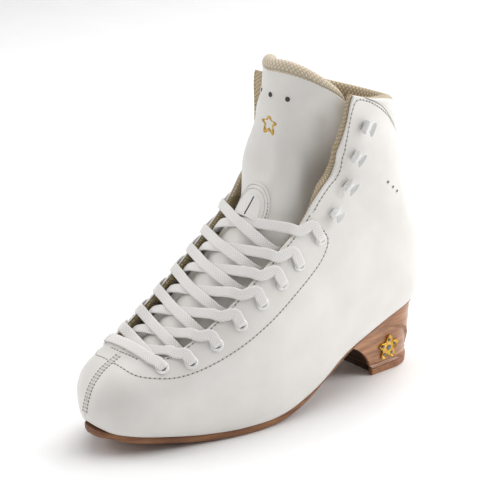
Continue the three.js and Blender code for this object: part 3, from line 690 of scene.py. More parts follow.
def bar(start, end, steps):
    """The straight run across the bottom of the throat."""
    return [spot(t, EYELET_FIRST - lace_dip(0) * (1 - (t / eyelet_angle(0)) ** 2), 1.5)
            for t in np.linspace(start, end, steps + 1)]


def lacing(first_side):
    """One half of the lace, zigzagging up from eyelet to eyelet."""
    knots, side = [], first_side
    for i in range(EYELETS - 1):
        knots += crossing(side, i, side == 1)
        side = -side
    return knots


# %% Spare ends: a flat hank on the footbed, three turns of lace on edge
HANK_ALONG = -30.0
HANK_ACROSS = 13.5
HANK_HEIGHT = 7.4
HANK_STRAIGHT = 27.8
HANK_SLOPE = math.atan(0.33)
FOOTBED_LOW = LEATHER + 2 * GAP + 2.2 + GAP
FOOTBED_THICK = 4.0
MARKS = [0, 0.35, 0.75, 1.25, 1.9, 2.6, 3.25, 3.38, 3.6, 4, 4.7, 5.4, 6.1, 6.8, 7.5, 8.2, 9, 9.8,
         10.5]
sole_rows = section([v for v in MARKS if 2.5 < v < 10])
SOLE_LINE = [(-240.5, 15.5), *sole_rows[:, 2:4].tolist(), (30, 57)]
SOLE_WIDTH = sole_rows[:, [2, 5]].tolist()
SOLE_SHIFT = sole_rows[:, [2, 6]].tolist()


def hank_spot(side, x, along, up, outward=(1, 0, 0), half=LACE_HALF):
    """A knot in the hank's own directions: across, along the boot, and up from it."""
    onward = np.array([0, math.cos(HANK_SLOPE), math.sin(HANK_SLOPE)])
    upward = np.array([0, -math.sin(HANK_SLOPE), math.cos(HANK_SLOPE)])
    lift = FOOTBED_LOW + FOOTBED_THICK + GAP + HANK_HEIGHT / 2 + 0.6
    base = np.array([side * HANK_ACROSS, HANK_ALONG, float(through(SOLE_LINE, HANK_ALONG)) + lift])
    point = base + np.array([side * x, 0, 0]) + along * onward + up * upward
    normal = side * outward[0] * np.array([1.0, 0, 0]) + outward[1] * onward + outward[2] * upward
    return np.concatenate([point, normal, [half]])


LAPS = 3
LAP_RADIUS = 9.0
LAP_STEP = 1.25                     # closing in at each end, so that the laps lie side by side


def coil(side):
    """Laps of a racetrack that closes in at each end."""
    knots, radius = [], LAP_RADIUS
    for half_lap in range(2 * LAPS):
        way = 1 if half_lap % 2 == 0 else -1
        for along in np.linspace(-HANK_STRAIGHT, HANK_STRAIGHT, 6)[half_lap == 0:]:
            knots.append(hank_spot(side, way * radius, way * along, 0, (way, 0, 0)))
        for turn in np.linspace(0, math.pi, 7)[1:-1]:
            reach = radius - LAP_STEP * turn / math.pi
            x, y = way * math.cos(turn), way * math.sin(turn)
            knots.append(hank_spot(side, x * reach, way * HANK_STRAIGHT + y * reach, 0,
                                   (x, y, 0)))
        radius -= LAP_STEP
    return knots


def spare_end(side):
    """Down from the last eyelet inside the boot, round the hank, and up to the aglet."""
    a = eyelet_angle(EYELETS - 1)
    down = [((a + 0.03), EYELET_LAST, -6.6), ((a + 0.12), EYELET_LAST, -7.6),
            ((a + 0.3), EYELET_LAST + 0.15, -8.2)]
    knots = [spot(side * turn, v, lift, 3.2) for turn, v, lift in down]
    for x, y, z in ((33, -74, 100), (29, -72, 84), (25, -72, 66)):
        knots.append(np.array([side * x, y, z, side * 1.0, 0, 0, LACE_HALF]))
    knots += [hank_spot(side, 9, -45, 9), hank_spot(side, 9, -40, 2.6)]
    knots += [hank_spot(side, 9, -35.3, 0.3)]
    knots += coil(side)
    knots += [hank_spot(side, 0.8, -24, 1.6, (1, 0, 0), 3.0),
              hank_spot(side, -0.6, -18, 3.9, (0.7, 0, 0.7), 2.0),
              hank_spot(side, -1.7, -13, 5.2, (0, 0, 1), 1.2),
              hank_spot(side, -2, -9, 5.4, (0, 0, 1), 1.0)]
    return knots


bar_end = -(eyelet_angle(0) - 0.2)
HALVES_APART = 0.02
lace_knots = {
    "lateral": bar(bar_end, eyelet_angle(0) - 0.2, 8) + into_eyelet(1, 0) + lacing(1)
    + spare_end(-1),
    "medial": bar(bar_end - HALVES_APART, bar_end - HALVES_APART - 0.03, 1)
    + into_eyelet(-1, 0) + lacing(-1) + spare_end(1),
}
print({half: len(knots) for half, knots in lace_knots.items()}, "knots")


# %% From knots to a ribbon
def mixed(a, b, t, start, end):
    """From a to b as t goes from start to end."""
    return ((end - t) * a + (t - start) * b) / (end - start)


def resample(knots, spacing):
    """A centripetal curve through the knots, at even steps, with its flat side's
    normal and half width carried along."""
    k = np.array(knots)
    for i in range(1, len(k)):                 # a flat lace has no front: keep its side steady
        if np.dot(k[i, 3:6], k[i - 1, 3:6]) < 0:
            k[i, 3:6] *= -1
    k = extended(k)
    time = np.concatenate([[0], np.cumsum(np.sqrt(np.maximum(
        np.linalg.norm(np.diff(k[:, :3], axis=0), axis=1), 1e-3)))])
    out = []
    for i in range(1, len(k) - 2):
        t0, t1, t2, t3 = time[i - 1:i + 3]
        t = np.linspace(t1, t2, 16, endpoint=False)[:, None]
        a1 = mixed(k[i - 1], k[i], t, t0, t1)
        a2 = mixed(k[i], k[i + 1], t, t1, t2)
        a3 = mixed(k[i + 1], k[i + 2], t, t2, t3)
        out.append(mixed(mixed(a1, a2, t, t0, t2), mixed(a2, a3, t, t1, t3), t, t1, t2))
    fine = np.vstack([*out, k[-2]])
    gone = run_of(fine[:, :3])
    marks = np.linspace(0, gone[-1], int(gone[-1] / spacing) + 1)
    return np.stack([np.interp(marks, gone, fine[:, c]) for c in range(7)], axis=1), gone[-1]


RIBBON_SIDES = 24
RIBBON_STEP = 1.6


def ribbon(name, knots):
    """A flat lace with rounded edges and two shallow ribs along it."""
    track, length = resample(knots, RIBBON_STEP)
    point, flat, half = track[:, :3], track[:, 3:6], track[:, 6:7]
    tangent = unit(np.gradient(point, axis=0))
    for _ in range(6):                          # a real lace twists gradually
        flat[1:-1] = (flat[:-2] + 2 * flat[1:-1] + flat[2:]) / 4
    flat -= tangent * np.sum(flat * tangent, axis=1, keepdims=True)
    flat = unit(flat)
    wide = np.cross(tangent, flat)
    turn = around(RIBBON_SIDES)
    across = squared(np.cos(turn), 0.75)
    ribs = 1 + 0.2 * np.cos(3 * math.pi * across) * (1 - across**2)
    thick = squared(np.sin(turn), 0.6) * ribs
    bulk = LACE_THICK / 2 * (LACE_HALF / half) ** 0.45
    rings = (point[:, None] + wide[:, None] * (across[None, :, None] * half[:, None])
             + flat[:, None] * (thick[None, :, None] * bulk[:, None]))
    marks = np.linspace(0, length, len(track))[:, None]
    uvs = np.stack(np.broadcast_arrays(across[None] * half, marks), axis=-1).reshape(-1, 2)
    return tube_piece(name, rings, uvs), point * MM, length * MM


def capsule_rings(start, end, radius, sides=16, nose=0.6):
    """Rings of a round rod with rounded ends."""
    start, end = np.array(start, float), np.array(end, float)
    line = end - start
    length = np.linalg.norm(line)
    line /= length
    side = unit(np.cross(line, [0.3, 0.1, 1.0]))
    third = np.cross(line, side)
    marks = [(0, 0.05), (0.12, 0.6), (nose, 1), (length - nose, 1), (length - 0.12, 0.6),
             (length, 0.05)]
    turn = around(sides)[:, None]
    circle = side * np.cos(turn) + third * np.sin(turn)
    return [start + line * along + circle * radius * share for along, share in marks]


AGLET_RADIUS = 1.4
for half, stored, spare_side in (("lateral", "medial", -1), ("medial", "lateral", 1)):
    lace, path, length = ribbon(f"flat_lace_{half}", lace_knots[half])
    dress(lace, lace_weave, "boot", [f"lace_from_{half}", f"lace_hank_{stored}"])
    ends = [hank_spot(spare_side, -2, along, 5.4)[:3] for along in (-10.9, 10.9)]
    aglet = tube_piece(f"aglet_tip_{stored}", capsule_rings(*ends, AGLET_RADIUS))
    dress(aglet, clear_plastic, "boot", [f"aglet_{stored}"])
    print(f"lace half {half}: {length:.3f} m")

# %% [markdown]
# ## Upper leather
#
# Two quarters of calf leather meet along the toe, the sole and the back seam, and
# leave the throat open. The cut edges are skived and folded, so they are round.
# The grid is close-set beside the edges, where the surface bends most, and wider
# elsewhere. The eyelets need real holes, and a boolean cuts them before
# the rings go in, because a dark disc would look flat from the side.

# %% Upper sizes and grid
COLLAR_LINE = [(1.62, 15), (1.9, 14.8), (2.2, 14.3), (2.6, 14.12), (math.pi, 14.1)]
HOOK_SEATS = [(1.18, 9.26), (1.18, 11.18), (1.32, 12.74), (1.55, 13.85)]
EDGE_ROUND = 0.9
SKIVED = 1.9
EYELET_HOLE = 2.9                   # radius
FACING_TOP = 0.1325                 # the facings are lined in tan up to here, in metres,
FACING_BACK = -0.09                 # and back to here
SEAM_ROUND = 0.6
EDGE_STEPS = np.array([0, 0.005, 0.011, 0.018, 0.027, 0.04, 0.058])
SIDES = (("lateral", 1), ("medial", -1))
row_marks = np.concatenate([[0, 0.03, 0.07, 0.12], np.linspace(0.18, 14.88, 190),
                            15 - EDGE_STEPS[:5][::-1]])


def shell_grid(side, columns, edge=0.0, margin=True):
    """Turns and stations of a grid from the throat edge to the sole's edge, with the
    lasting margin where there is a sole. A positive edge stands out past the leather."""
    start = throat(row_marks) - edge * smoothstep(row_marks, 8.5, 9.6)
    share = np.linspace(0, 1, columns)
    turn = start[:, None] + EDGE_STEPS[-1] + (math.pi - EDGE_STEPS[-1] - start)[:, None] * share
    turn = np.concatenate([start[:, None] + EDGE_STEPS[:-1], turn], axis=1)
    v = np.broadcast_to(row_marks[:, None], turn.shape)
    room = LAST_STATION - through(COLLAR_LINE, turn)
    v = v - room * smoothstep((v - 11) / 4)
    if margin:
        tucked = (section(row_marks)[:, 5] > 0.05)[:, None] * np.array([0.04, 0.15, 0.4, 0.7, 1.0])
        turn = np.concatenate([turn, math.pi + tucked], axis=1)
        v = np.concatenate([v, np.repeat(v[:, -1:], 5, axis=1)], axis=1)
    return side * turn, v


def edge_fall(turn, v, radius):
    """How far the surface falls back beside the throat edge and the cuff's top."""
    base = skin(turn, v)[0]
    below = run_of(base[::-1])[::-1]
    side_round = np.where(v < 3.3, min(SEAM_ROUND, radius), radius)
    fall = rounded(run_of(base, 1), side_round) + rounded(below, SEAM_ROUND)
    return np.minimum(fall, radius)


def skive(turn, v):
    """How much thinner the leather is beside the throat, where its edge is folded."""
    beside = (np.abs(turn) - throat(v)) * TURN_MM
    return SKIVED * (1 - smoothstep(beside, 0.5, 8.0)) * smoothstep(v, 3.3, 3.6)


def cut_holes(piece, cutter):
    """Subtracts one object from another and removes the cutter."""
    cut = piece.modifiers.new("holes", "BOOLEAN")
    cut.object = cutter
    cut.solver = "EXACT"
    made = bpy.data.meshes.new_from_object(piece.evaluated_get(
        bpy.context.evaluated_depsgraph_get()))
    piece.modifiers.remove(cut)
    piece.data = made
    bpy.data.objects.remove(cutter)


def seat(side, angle, v, lift=0.0):
    """A place on the upper: its base and its directions away from the throat, across, out."""
    turn = side * angle
    base, out = skin(turn, v, lift)
    away = skin(side * (angle + NUDGE), v, lift)[0] - base
    away = unit(away - out * np.dot(away, out))
    return base, np.array([away, np.cross(out, away), out])


def eyelet_cutter(side, radius):
    """Eight rods through the facing, one at each eyelet."""
    bodies = []
    for i in range(EYELETS):
        base, axes = seat(side, eyelet_angle(i), eyelet_station(i))
        bodies.append([disc(base, axes, radius, z) for z in (-9, -3, 3)])
    return merged("eyelet_cutter", bodies)


for name, side in SIDES:
    turn, v = shell_grid(side, 58)
    fall = edge_fall(turn, v, EDGE_ROUND)
    outer = skin(turn, v, -fall, clear=GAP / 2)[0]
    inner = skin(turn, v, -LEATHER + skive(turn, v) + 0.4 * fall, clear=GAP / 2)[0]
    upper = sheet_piece(f"upper_leather_{name}", outer, inner)
    cut_holes(upper, eyelet_cutter(side, EYELET_HOLE))
    dress(upper, white_leather, "boot", [f"quarter_{name}"])
    turn, v = shell_grid(side, 40, edge=0.045, margin=False)
    fall = edge_fall(turn, v, 0.7)
    thin = skive(turn, v)
    lining = sheet_piece(f"quarter_lining_{name}",
                         skin(turn, v, thin - LINING_TOP - fall, clear=GAP)[0],
                         skin(turn, v, thin * 0.8 - LINING_BACK + fall * 0.8, clear=GAP)[0])
    cut_holes(lining, eyelet_cutter(side, EYELET_HOLE))
    dress(lining, beige_mesh, "boot", [f"lining_{name}"])
    lining.data.materials.append(tan_lining)
    for face in lining.data.polygons:
        face.material_index = int(face.center.z < FACING_TOP and face.center.y < FACING_BACK)
    print(name, "upper", len(upper.data.vertices), "lining", len(lining.data.vertices))

# %% [markdown]
# ## Padded pieces
#
# The collar and the roll are foam under cloth. Each starts as a slightly slack
# form. Cloth with inner pressure then swells it, held at its seams, and its
# movement is capped so that it stays in the space it has. The tongue's foam and the
# footbed lie flat between other layers, so their own shape is enough.


# %% Swelling by cloth
CLOTH_FRAMES = 20
CLOTH_PRESSURE = 4.0


def swell(piece, held, cap):
    """Cloth under pressure for a few frames; held vertices stay where they are, and
    no vertex moves by more than the cap in mm."""
    start = np.empty(3 * len(piece.data.vertices), np.float32)
    piece.data.vertices.foreach_get("co", start)
    pins = piece.vertex_groups.new(name="seams")
    pins.add([int(i) for i in held], 1.0, "REPLACE")
    cloth = piece.modifiers.new("swell", "CLOTH")
    cloth.settings.use_pressure = True
    cloth.settings.uniform_pressure_force = CLOTH_PRESSURE
    cloth.settings.vertex_group_mass = "seams"
    cloth.settings.tension_stiffness = 25
    cloth.settings.bending_stiffness = 2.0
    cloth.settings.effector_weights.gravity = 0.0
    scene = bpy.context.scene
    for step in range(1, CLOTH_FRAMES + 1):
        scene.frame_set(step)
    seen = piece.evaluated_get(bpy.context.evaluated_depsgraph_get()).data
    moved = np.empty_like(start)
    seen.vertices.foreach_get("co", moved)
    piece.modifiers.remove(cloth)
    piece.vertex_groups.remove(pins)
    scene.frame_set(1)
    change = (moved - start).reshape(-1, 3)
    reach = np.linalg.norm(change, axis=1, keepdims=True)
    change *= np.minimum(1, cap * MM / np.maximum(reach, 1e-9))
    piece.data.vertices.foreach_set("co", (start.reshape(-1, 3) + change).ravel())
    piece.data.update()
    print(piece.name, "swelled by up to", round(float(reach.max()) / MM, 2), "mm, cap", cap)


def closed_curve(corners, count):
    """A smooth closed curve through a few corners."""
    corners = np.asarray(corners, float)
    spots = np.linspace(0, len(corners), count, endpoint=False)
    i = np.floor(spots).astype(int)
    return between([corners[(i + k) % len(corners)] for k in (-1, 0, 1, 2)],
                   (spots - i)[:, None])


ROUND_FROM = 0.93


def tapered(place):
    """How thick a roll is at a place from -1 to 1: full, and rounded off at its ends."""
    past = max((abs(place) - ROUND_FROM) / (1 - ROUND_FROM), 0)
    return math.sqrt(max(1 - past**2, 0.02))


print("cloth recipe ready, skipped now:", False)

# %% [markdown]
# ### Collar
#
# The back of the cuff is a soft roll, so that the ankle can point the toes. Its
# outer half is the white leather of the boot and its inner half is mesh.

# %% Collar
COLLAR_START = 1.6
COLLAR_RISE = 0.24                  # the inner roll stands above the leather, in stations
COLLAR_SECTION = [  # share of the height, offset from the leather's outer face
    (0.0, -0.15), (0.12, 0.3), (0.4, 0.9), (0.72, 0.6), (0.94, -1.4), (1.0, -4.0), (0.95, -6.8),
    (0.75, -8.8), (0.35, -8.8), (0.08, -7.4), (0.0, -4.6), (-0.01, -2.4),
]
LEATHER_SHARE = 3.3 / len(COLLAR_SECTION)
AROUND_COLLAR = 44
COLLAR_RINGS = 97
SEWN_COLUMNS = (0, 1, AROUND_COLLAR - 1, 20)    # to the leather, and to the lining
collar_loop = closed_curve(COLLAR_SECTION, AROUND_COLLAR)
rings = []
for place in np.linspace(-1, 1, COLLAR_RINGS):
    angle = math.pi - abs((math.pi - COLLAR_START) * place)
    low = float(through(COLLAR_LINE, angle)) + 0.02
    shrink = tapered(place)
    share = 0.5 + (collar_loop[:, 0] - 0.5) * shrink
    offset = -2.6 + (collar_loop[:, 1] + 2.6) * shrink
    side = -1 if place < 0 else 1
    high = LAST_STATION + COLLAR_RISE * float(smoothstep(angle, 1.6, 2.2))
    rings.append(skin(side * angle, low + (high - low) * share, offset)[0])
collar = cloth_tube("ankle_collar", rings)
for face in collar.data.polygons[:(COLLAR_RINGS - 1) * AROUND_COLLAR]:
    face.material_index = int((face.index % AROUND_COLLAR) / AROUND_COLLAR > LEATHER_SHARE)
sewn = [i * AROUND_COLLAR + j for i in range(COLLAR_RINGS) for j in SEWN_COLUMNS]
swell(collar, sewn, cap=0.6)
dress(collar, white_leather, "boot", ["achilles_collar"])
collar.data.materials.append(beige_mesh)
print("collar", len(collar.data.vertices))

# %% [markdown]
# ## Tongue
#
# A padded tongue: calf leather in front, foam and mesh behind. The real one bends
# forward at the ankle to let the foot in. Between the crossings the foam puffs up,
# and a soft valley runs down its outer half above the lacing.

# %% Tongue layers
TONGUE_FIRST = 2.9
TONGUE_TOP = [(0, 14.7), (0.35, 14.78), (0.67, 14.74), (0.96, 14.6), (1.22, 14.4), (1.4, 14.1)]
TONGUE_FACE = 1.6
TONGUE_BACK = 8.7
SKEW = [(3.3, 0), (4, -3), (7, -3), (7.7, 0), (8.3, 5.5), (8.8, 8), (9.4, 8), (10.2, 6),
        (11.5, 3), (12.5, 1), (13.5, -3.5), (14.7, -6.6)]    # of the inner half, in mm


def tongue_lift(turn, v):
    """Puffs between the crossings of the lace, a valley on each side above them, and
    the lean of the inner half, which lies low under the lace and leans out above it."""
    crossed = (v - EYELET_FIRST - EYELET_PITCH / 2) / EYELET_PITCH
    dip = lace_dip(crossed) / EYELET_PITCH
    laced = smoothstep(v, 3.5, 4.2) * (1 - smoothstep(v, 7.0, 7.6))
    puff = -0.15 * np.cos(2 * math.pi * (crossed + dip)) * laced * np.exp(-(turn / 0.35) ** 2)
    open_part = smoothstep(v, 8.1, 9.4) * (1 - smoothstep(v, 13.2, 14.3))
    valley = -4.0 * np.exp(-((np.abs(turn) - 0.98) / 0.24) ** 2) * open_part
    skew = through(SKEW, v)
    wing = smoothstep(np.abs(turn), 0.66, 0.84)
    lean = skew * smoothstep(-turn, -0.1, 0.62) * np.where(skew < 0, 1 - wing * (v < 7.7), 1)
    return puff + valley + lean + 2.3 * wing * smoothstep(v, 3.6, 4.2) * (1 - smoothstep(v, 7.3, 8))


def on_tongue(turn, v, lift=0.0):
    """Points above the tongue's own leather face."""
    return skin(turn, v, lift + tongue_lift(np.asarray(turn), np.asarray(v)), tongue_section)


TONGUE_WIDEST = 14.5
share = np.linspace(-1, 1, 71)
rows = np.linspace(0, 1, 160)
turn = through(TONGUE_EDGE, TONGUE_FIRST + (TONGUE_WIDEST - TONGUE_FIRST) * rows)[:, None] * share
v = TONGUE_FIRST + (through(TONGUE_TOP, np.abs(turn)) - TONGUE_FIRST) * rows[:, None]
to_rim = (through(TONGUE_EDGE, v) - np.abs(turn)) * TURN_MM * 0.8
face_lift = tongue_lift(turn, v)


def tongue_layer(name, front, back):
    """One layer of the tongue, between two lifts off its surface."""
    return sheet_piece(name, *(skin(turn, v, lift, tongue_section)[0] for lift in (front, back)))


fall = rounded(to_rim, 0.8)
tongue_face = tongue_layer("tongue_leather", face_lift - fall,
                           face_lift - TONGUE_FACE + 0.5 * fall)
dress(tongue_face, white_leather, None, ["tongue_face_lower", "tongue_face_upper"])
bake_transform(tongue_face)
fall = rounded(to_rim, 3.2)
tongue_lining = tongue_layer("tongue_foam_and_mesh", face_lift - TONGUE_FACE - GAP - fall,
                             np.minimum(face_lift, 0) - TONGUE_BACK + fall * 0.9)
dress(tongue_lining, beige_mesh, None,
      ["tongue_padding_lower", "tongue_padding_upper", "tongue_backing_lower",
       "tongue_backing_upper"])
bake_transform(tongue_lining)
print("tongue", len(tongue_face.data.vertices), "lining", len(tongue_lining.data.vertices))

# %% [markdown]
# ### Roll
#
# The tongue ends in a thick roll of cream mesh, so that it does not cut the shin.
# Its rings stand square to the tongue's top edge and get thinner towards both
# ends, where the real roll is sewn down.

# %% Roll
ROLL_RADIUS = 5.0
ROLL_AROUND = 28
ROLL_RINGS = 85
ROLL_EDGE = 1.33
rings = []
for place in np.linspace(-1, 1, ROLL_RINGS):
    turn_here = ROLL_EDGE * place
    top = float(through(TONGUE_TOP, abs(turn_here)))
    base, out = on_tongue(turn_here, top, 0.6 - ROLL_RADIUS)
    up = unit(on_tongue(turn_here, top)[0] - on_tongue(turn_here, top - 0.1)[0])
    shrink = (1 - 0.3 * place**2) * tapered(place)
    loop = around(ROLL_AROUND)[:, None]
    centre = base + up * 1.2 + out * (1 - shrink) * ROLL_RADIUS * 0.6
    rings.append(centre + (out * np.cos(loop) + up * np.sin(loop)) * ROLL_RADIUS * shrink)
roll = cloth_tube("tongue_top_roll_mesh", rings)
LOWEST = 3 * ROLL_AROUND // 4       # the column that is sewn to the tongue
seam = [i * ROLL_AROUND + LOWEST for i in range(ROLL_RINGS)]
swell(roll, seam, cap=0.5)
dress(roll, cream_mesh, "tongue_upper", ["tongue_top_roll"])
print("roll", len(roll.data.vertices))

# %% [markdown]
# ### Arched patch
#
# A parabolic patch is sewn to the tongue above the lacing. A short webbing loop
# in its middle keeps the lace, beside the slit that the lace goes through. Both
# are the same outline at two sizes, laid on the tongue's own surface, so they
# follow its puffs without a shrinkwrap.

# %% Arched patch
PATCH_FROM, PATCH_TO = 7.06, 7.98
PATCH_HALF = 0.42
PATCH_TOP = 1.7
STATION_MM = 21                     # about how many mm one station of the tongue is


def arch_half(share):
    """Half width of the arch at a share of its height."""
    return PATCH_HALF * np.sqrt(np.maximum(1 - share**3, 0.0))


def arch_piece(name, size, top, under):
    """An arched piece of the patch's outline, scaled about the middle of its foot."""
    share = 1 - (1 - np.linspace(0, 1, 40)) ** 1.6
    spread = np.linspace(-1, 1, 41)
    half = arch_half(share) * size
    turn = np.maximum(half, 0.012)[:, None] * spread
    rise = (PATCH_TO - PATCH_FROM) * size
    v = np.broadcast_to((PATCH_FROM + rise * share)[:, None], turn.shape)
    to_edge = np.minimum((1 - np.abs(spread))[None] * half[:, None] * TURN_MM,
                         (1 - share)[:, None] * rise * STATION_MM)
    return sheet_piece(name, on_tongue(turn, v, top - rounded(to_edge, 1.2))[0],
                       on_tongue(turn, v, under)[0])


patch = arch_piece("arched_tongue_patch", 1.0, PATCH_TOP, 0.25)
dress(patch, white_leather, "tongue_upper", ["tongue_patch"])
keeper = arch_piece("webbing_lace_keeper", 0.68, PATCH_TOP + 1.0, PATCH_TOP - 0.6)
dress(keeper, lace_weave, "tongue_upper", ["lace_keeper_strap"])
turn, v = np.meshgrid(np.linspace(0.035, 0.06, 5), np.linspace(7.1, 7.6, 24))
slit = sheet_piece("keeper_slit", on_tongue(turn, v, PATCH_TOP + 1.06)[0],
                   on_tongue(turn, v, PATCH_TOP)[0])
dress(slit, hole_shade, "tongue_upper")
print("patch", len(patch.data.vertices))

# %% [markdown]
# ## Eyelets and speed hooks
#
# Both are pressed from sheet brass and enamelled white. An eyelet is a turned
# ring. A hook is one bent strip: a riveted round foot, a wide bend beside the
# throat, then a saddle with a narrow waist and a flared tip that the lace slips
# under. One list gives the strip's run and its width, so the whole hook is a
# single smooth sweep, as the pressed one is.

# %% Eyelets
EYELET_PROFILE = [(2.3, -5.3), (2.3, -2), (2.32, 0.3), (2.5, 0.8), (2.9, 1.05), (3.4, 1.1),
                  (3.95, 0.92), (4.3, 0.6), (4.4, 0.35), (4.25, 0.2), (2.9, 0.15), (2.9, -2),
                  (2.9, -5.3)]


def turned_ring(profile, base, axes, steps=36):
    """A ring body turned from (radius, height) pairs about a seat's outward axis."""
    profile = np.array(profile)
    rings = []
    for turn in around(steps):
        local = np.stack([profile[:, 0] * math.cos(turn), profile[:, 0] * math.sin(turn),
                          profile[:, 1]], axis=1)
        rings.append(base + local @ axes)
    return rings


for name, side in SIDES:
    for i in range(EYELETS):
        base, axes = seat(side, eyelet_angle(i), eyelet_station(i))
        ring = ring_piece(f"enamel_eyelet_{name}_{i + 1}", turned_ring(EYELET_PROFILE, base, axes))
        dress(ring, white_enamel, "boot", [f"eyelet_{name}_{i + 1}"])
print("eyelets", 2 * EYELETS)

# %% Speed hooks
HOOK_STRIP = [  # away from the throat, out from the leather, half width
    (3.2, 0.85, 0.5), (2.8, 0.85, 1.7), (2.1, 0.85, 2.6), (1.0, 0.85, 3.3), (0.1, 0.85, 3.4),
    (-1.0, 0.85, 3.3), (-1.9, 0.95, 3.4), (-2.7, 1.4, 3.6), (-3.2, 2.4, 4.0), (-3.3, 3.7, 4.4),
    (-2.8, 4.8, 4.6), (-2.0, 5.3, 4.3), (-1.2, 5.1, 3.0), (-0.4, 4.8, 2.1), (0.4, 4.75, 2.0),
    (1.2, 4.95, 2.7), (1.9, 5.4, 4.2), (2.5, 5.9, 4.8), (3.0, 6.3, 4.6), (3.3, 6.55, 3.4),
    (3.4, 6.65, 1.2),
]
HOOK_THICK = 1.1
HOOK_SIDES = 20
RIVET_OFF = 0.4
RIVET = [(0.01, 2.1), (0.7, 2.05), (1.3, 1.85), (1.75, 1.5), (1.9, 1.2), (1.9, 0.9)]


def hook_rings(base, axes):
    """The strip's rings, each a flat oval square to the strip's run."""
    strip = np.array(HOOK_STRIP)
    marks = np.linspace(0, len(strip) - 1, 60)
    i = np.clip(np.floor(marks).astype(int), 0, len(strip) - 2)
    far = extended(strip)
    fine = between([far[i + k] for k in range(4)], (marks - i)[:, None])
    run = unit(np.gradient(fine[:, :2], axis=0))
    loop = around(HOOK_SIDES)
    rings = []
    for (x, z, half), (dx, dz) in zip(fine, run):
        across = squared(np.cos(loop), 0.6) * max(half, 0.3)
        thick = squared(np.sin(loop), 0.7) * HOOK_THICK / 2
        local = np.stack([x - dz * thick, across, z + dx * thick], axis=1)
        rings.append(base + local @ axes)
    return rings


for name, side in SIDES:
    for i, (angle, v) in enumerate(HOOK_SEATS):
        base, axes = seat(side, angle, v)
        rivet = [disc(base, axes, r, z, HOOK_SIDES, RIVET_OFF) for r, z in RIVET]
        hook = merged(f"enamel_speed_hook_{name}_{i + 1}", [hook_rings(base, axes), rivet])
        dress(hook, white_enamel, "boot", [f"hook_{name}_{i + 1}"])
print("hooks", 2 * len(HOOK_SEATS))

# %% [markdown]
# ## Stitching
#
# Lockstitches of bonded thread, 3 mm apart, greyed with painted shade. Each is a
# short capsule half sunk in the leather, and a dark oval of painted shade at each
# needle hole darkens the gap to the next one. The holes are drawn a little larger
# than the real 0.7 mm, or they would not show. They are real solids and not a
# bump, because raised thread catches the light along its length.
# All of one row's stitches are one object, which keeps the scene light.

# %% Stitch rows
STITCH = 3.0
THREAD_RADIUS = 0.34
THREAD_SHOWN = 0.72                 # share of the pitch, the rest is the needle hole
HOLE_LONG, HOLE_WIDE = 0.8, 0.48


def sew(name, places, surface=skin, lift=0.0, body="boot", pitch=STITCH, across=0.0):
    """A row of stitches through (turn, station) places on a surface. With a width
    across, each stitch lies square to the row, as where two edges are drawn together."""
    places = np.array(places, float)
    spots = np.linspace(0, len(places) - 1, 40 * len(places))
    line = np.stack([through(np.stack([np.arange(len(places)), places[:, k]], 1), spots)
                     for k in (0, 1)], axis=1)
    point, normal = surface(line[:, 0], line[:, 1], lift)
    gone = run_of(point)
    marks = np.arange(0.5 * pitch, gone[-1] - 0.4 * pitch, pitch)

    def at(distance, of=point):
        return np.array([np.interp(distance, gone, of[:, k]) for k in range(3)])

    half = pitch * THREAD_SHOWN / 2
    threads = []
    for m in marks:
        start, end = at(m - half), at(m + half)
        if across:
            reach = across * unit(np.cross(at(m, normal), end - start))
            middle = (start + end) / 2
            start, end = middle - reach, middle + reach
        threads.append(capsule_rings(start, end, THREAD_RADIUS, 8, 0.4))
    loop = around(12)[:, None]
    # A dark oval of painted shade at each needle hole.
    holes = []
    for m in (marks if across else marks + pitch / 2):
        centre, out = at(m), at(m, normal)
        flat = unit(at(m + 0.5) - at(m - 0.5))
        wide = np.cross(out, flat)
        oval = flat * np.cos(loop) * HOLE_LONG + wide * np.sin(loop) * HOLE_WIDE
        for shift in ((-across, across) if across else (0.0,)):
            holes.append([centre + wide * shift + oval * r + out * z
                          for r, z in ((0.3, -0.3), (1, -0.1), (1, 0.03), (0.3, 0.05))])
    # The threads are greyed with painted shade, and the needle holes are darkened with it.
    dress(merged(f"stitches_{name}", threads), thread, body)
    dress(merged(f"needle_prick_shades_{name}", holes), needle_prick_shade, body)
    return len(marks)


FACING_SEAM = [(0.036, 2.54), (0.597, 2.72), (0.974, 3.42), (1.142, 4.18), (1.222, 5.12),
               (1.252, 6.11), (1.274, 7.0), (1.316, 7.92), (1.281, 8.47), (1.199, 8.59),
               (1.013, 8.46)]
CUFF_SEAM = [(0.985, 8.61), (1.02, 9.86), (1.1, 12.0), (1.2, 12.8), (1.402, 14.25), (1.5, 14.8),
             (1.643, 14.88), (1.844, 14.72), (2.028, 14.48), (2.243, 14.16), (2.6, 13.99),
             (3.08, 13.96)]
EDGE_IN = 1.3
sewn = 0
for name, side in SIDES:
    sewn += sew(f"facing_{name}", [(side * t, v) for t, v in FACING_SEAM])
    sewn += sew(f"cuff_{name}", [(side * t, v) for t, v in CUFF_SEAM])
    edge = [(side * (float(throat(v)) + EDGE_IN / TURN_MM * 1.3), v)
            for v in np.linspace(3.5, 8.5, 20)]
    sewn += sew(f"throat_{name}", edge)
    sewn += sew(f"back_{name}", [(side * (math.pi - 0.07), v) for v in np.linspace(11.6, 13.7, 8)])
sewn += sew("throat_bar", [(-0.326, 3.10), (0, 3.08), (0.349, 3.17)])
sewn += sew("toe_seam", [(0.012, v) for v in np.linspace(0.15, 3.0, 16)], pitch=2.2, across=2.1)
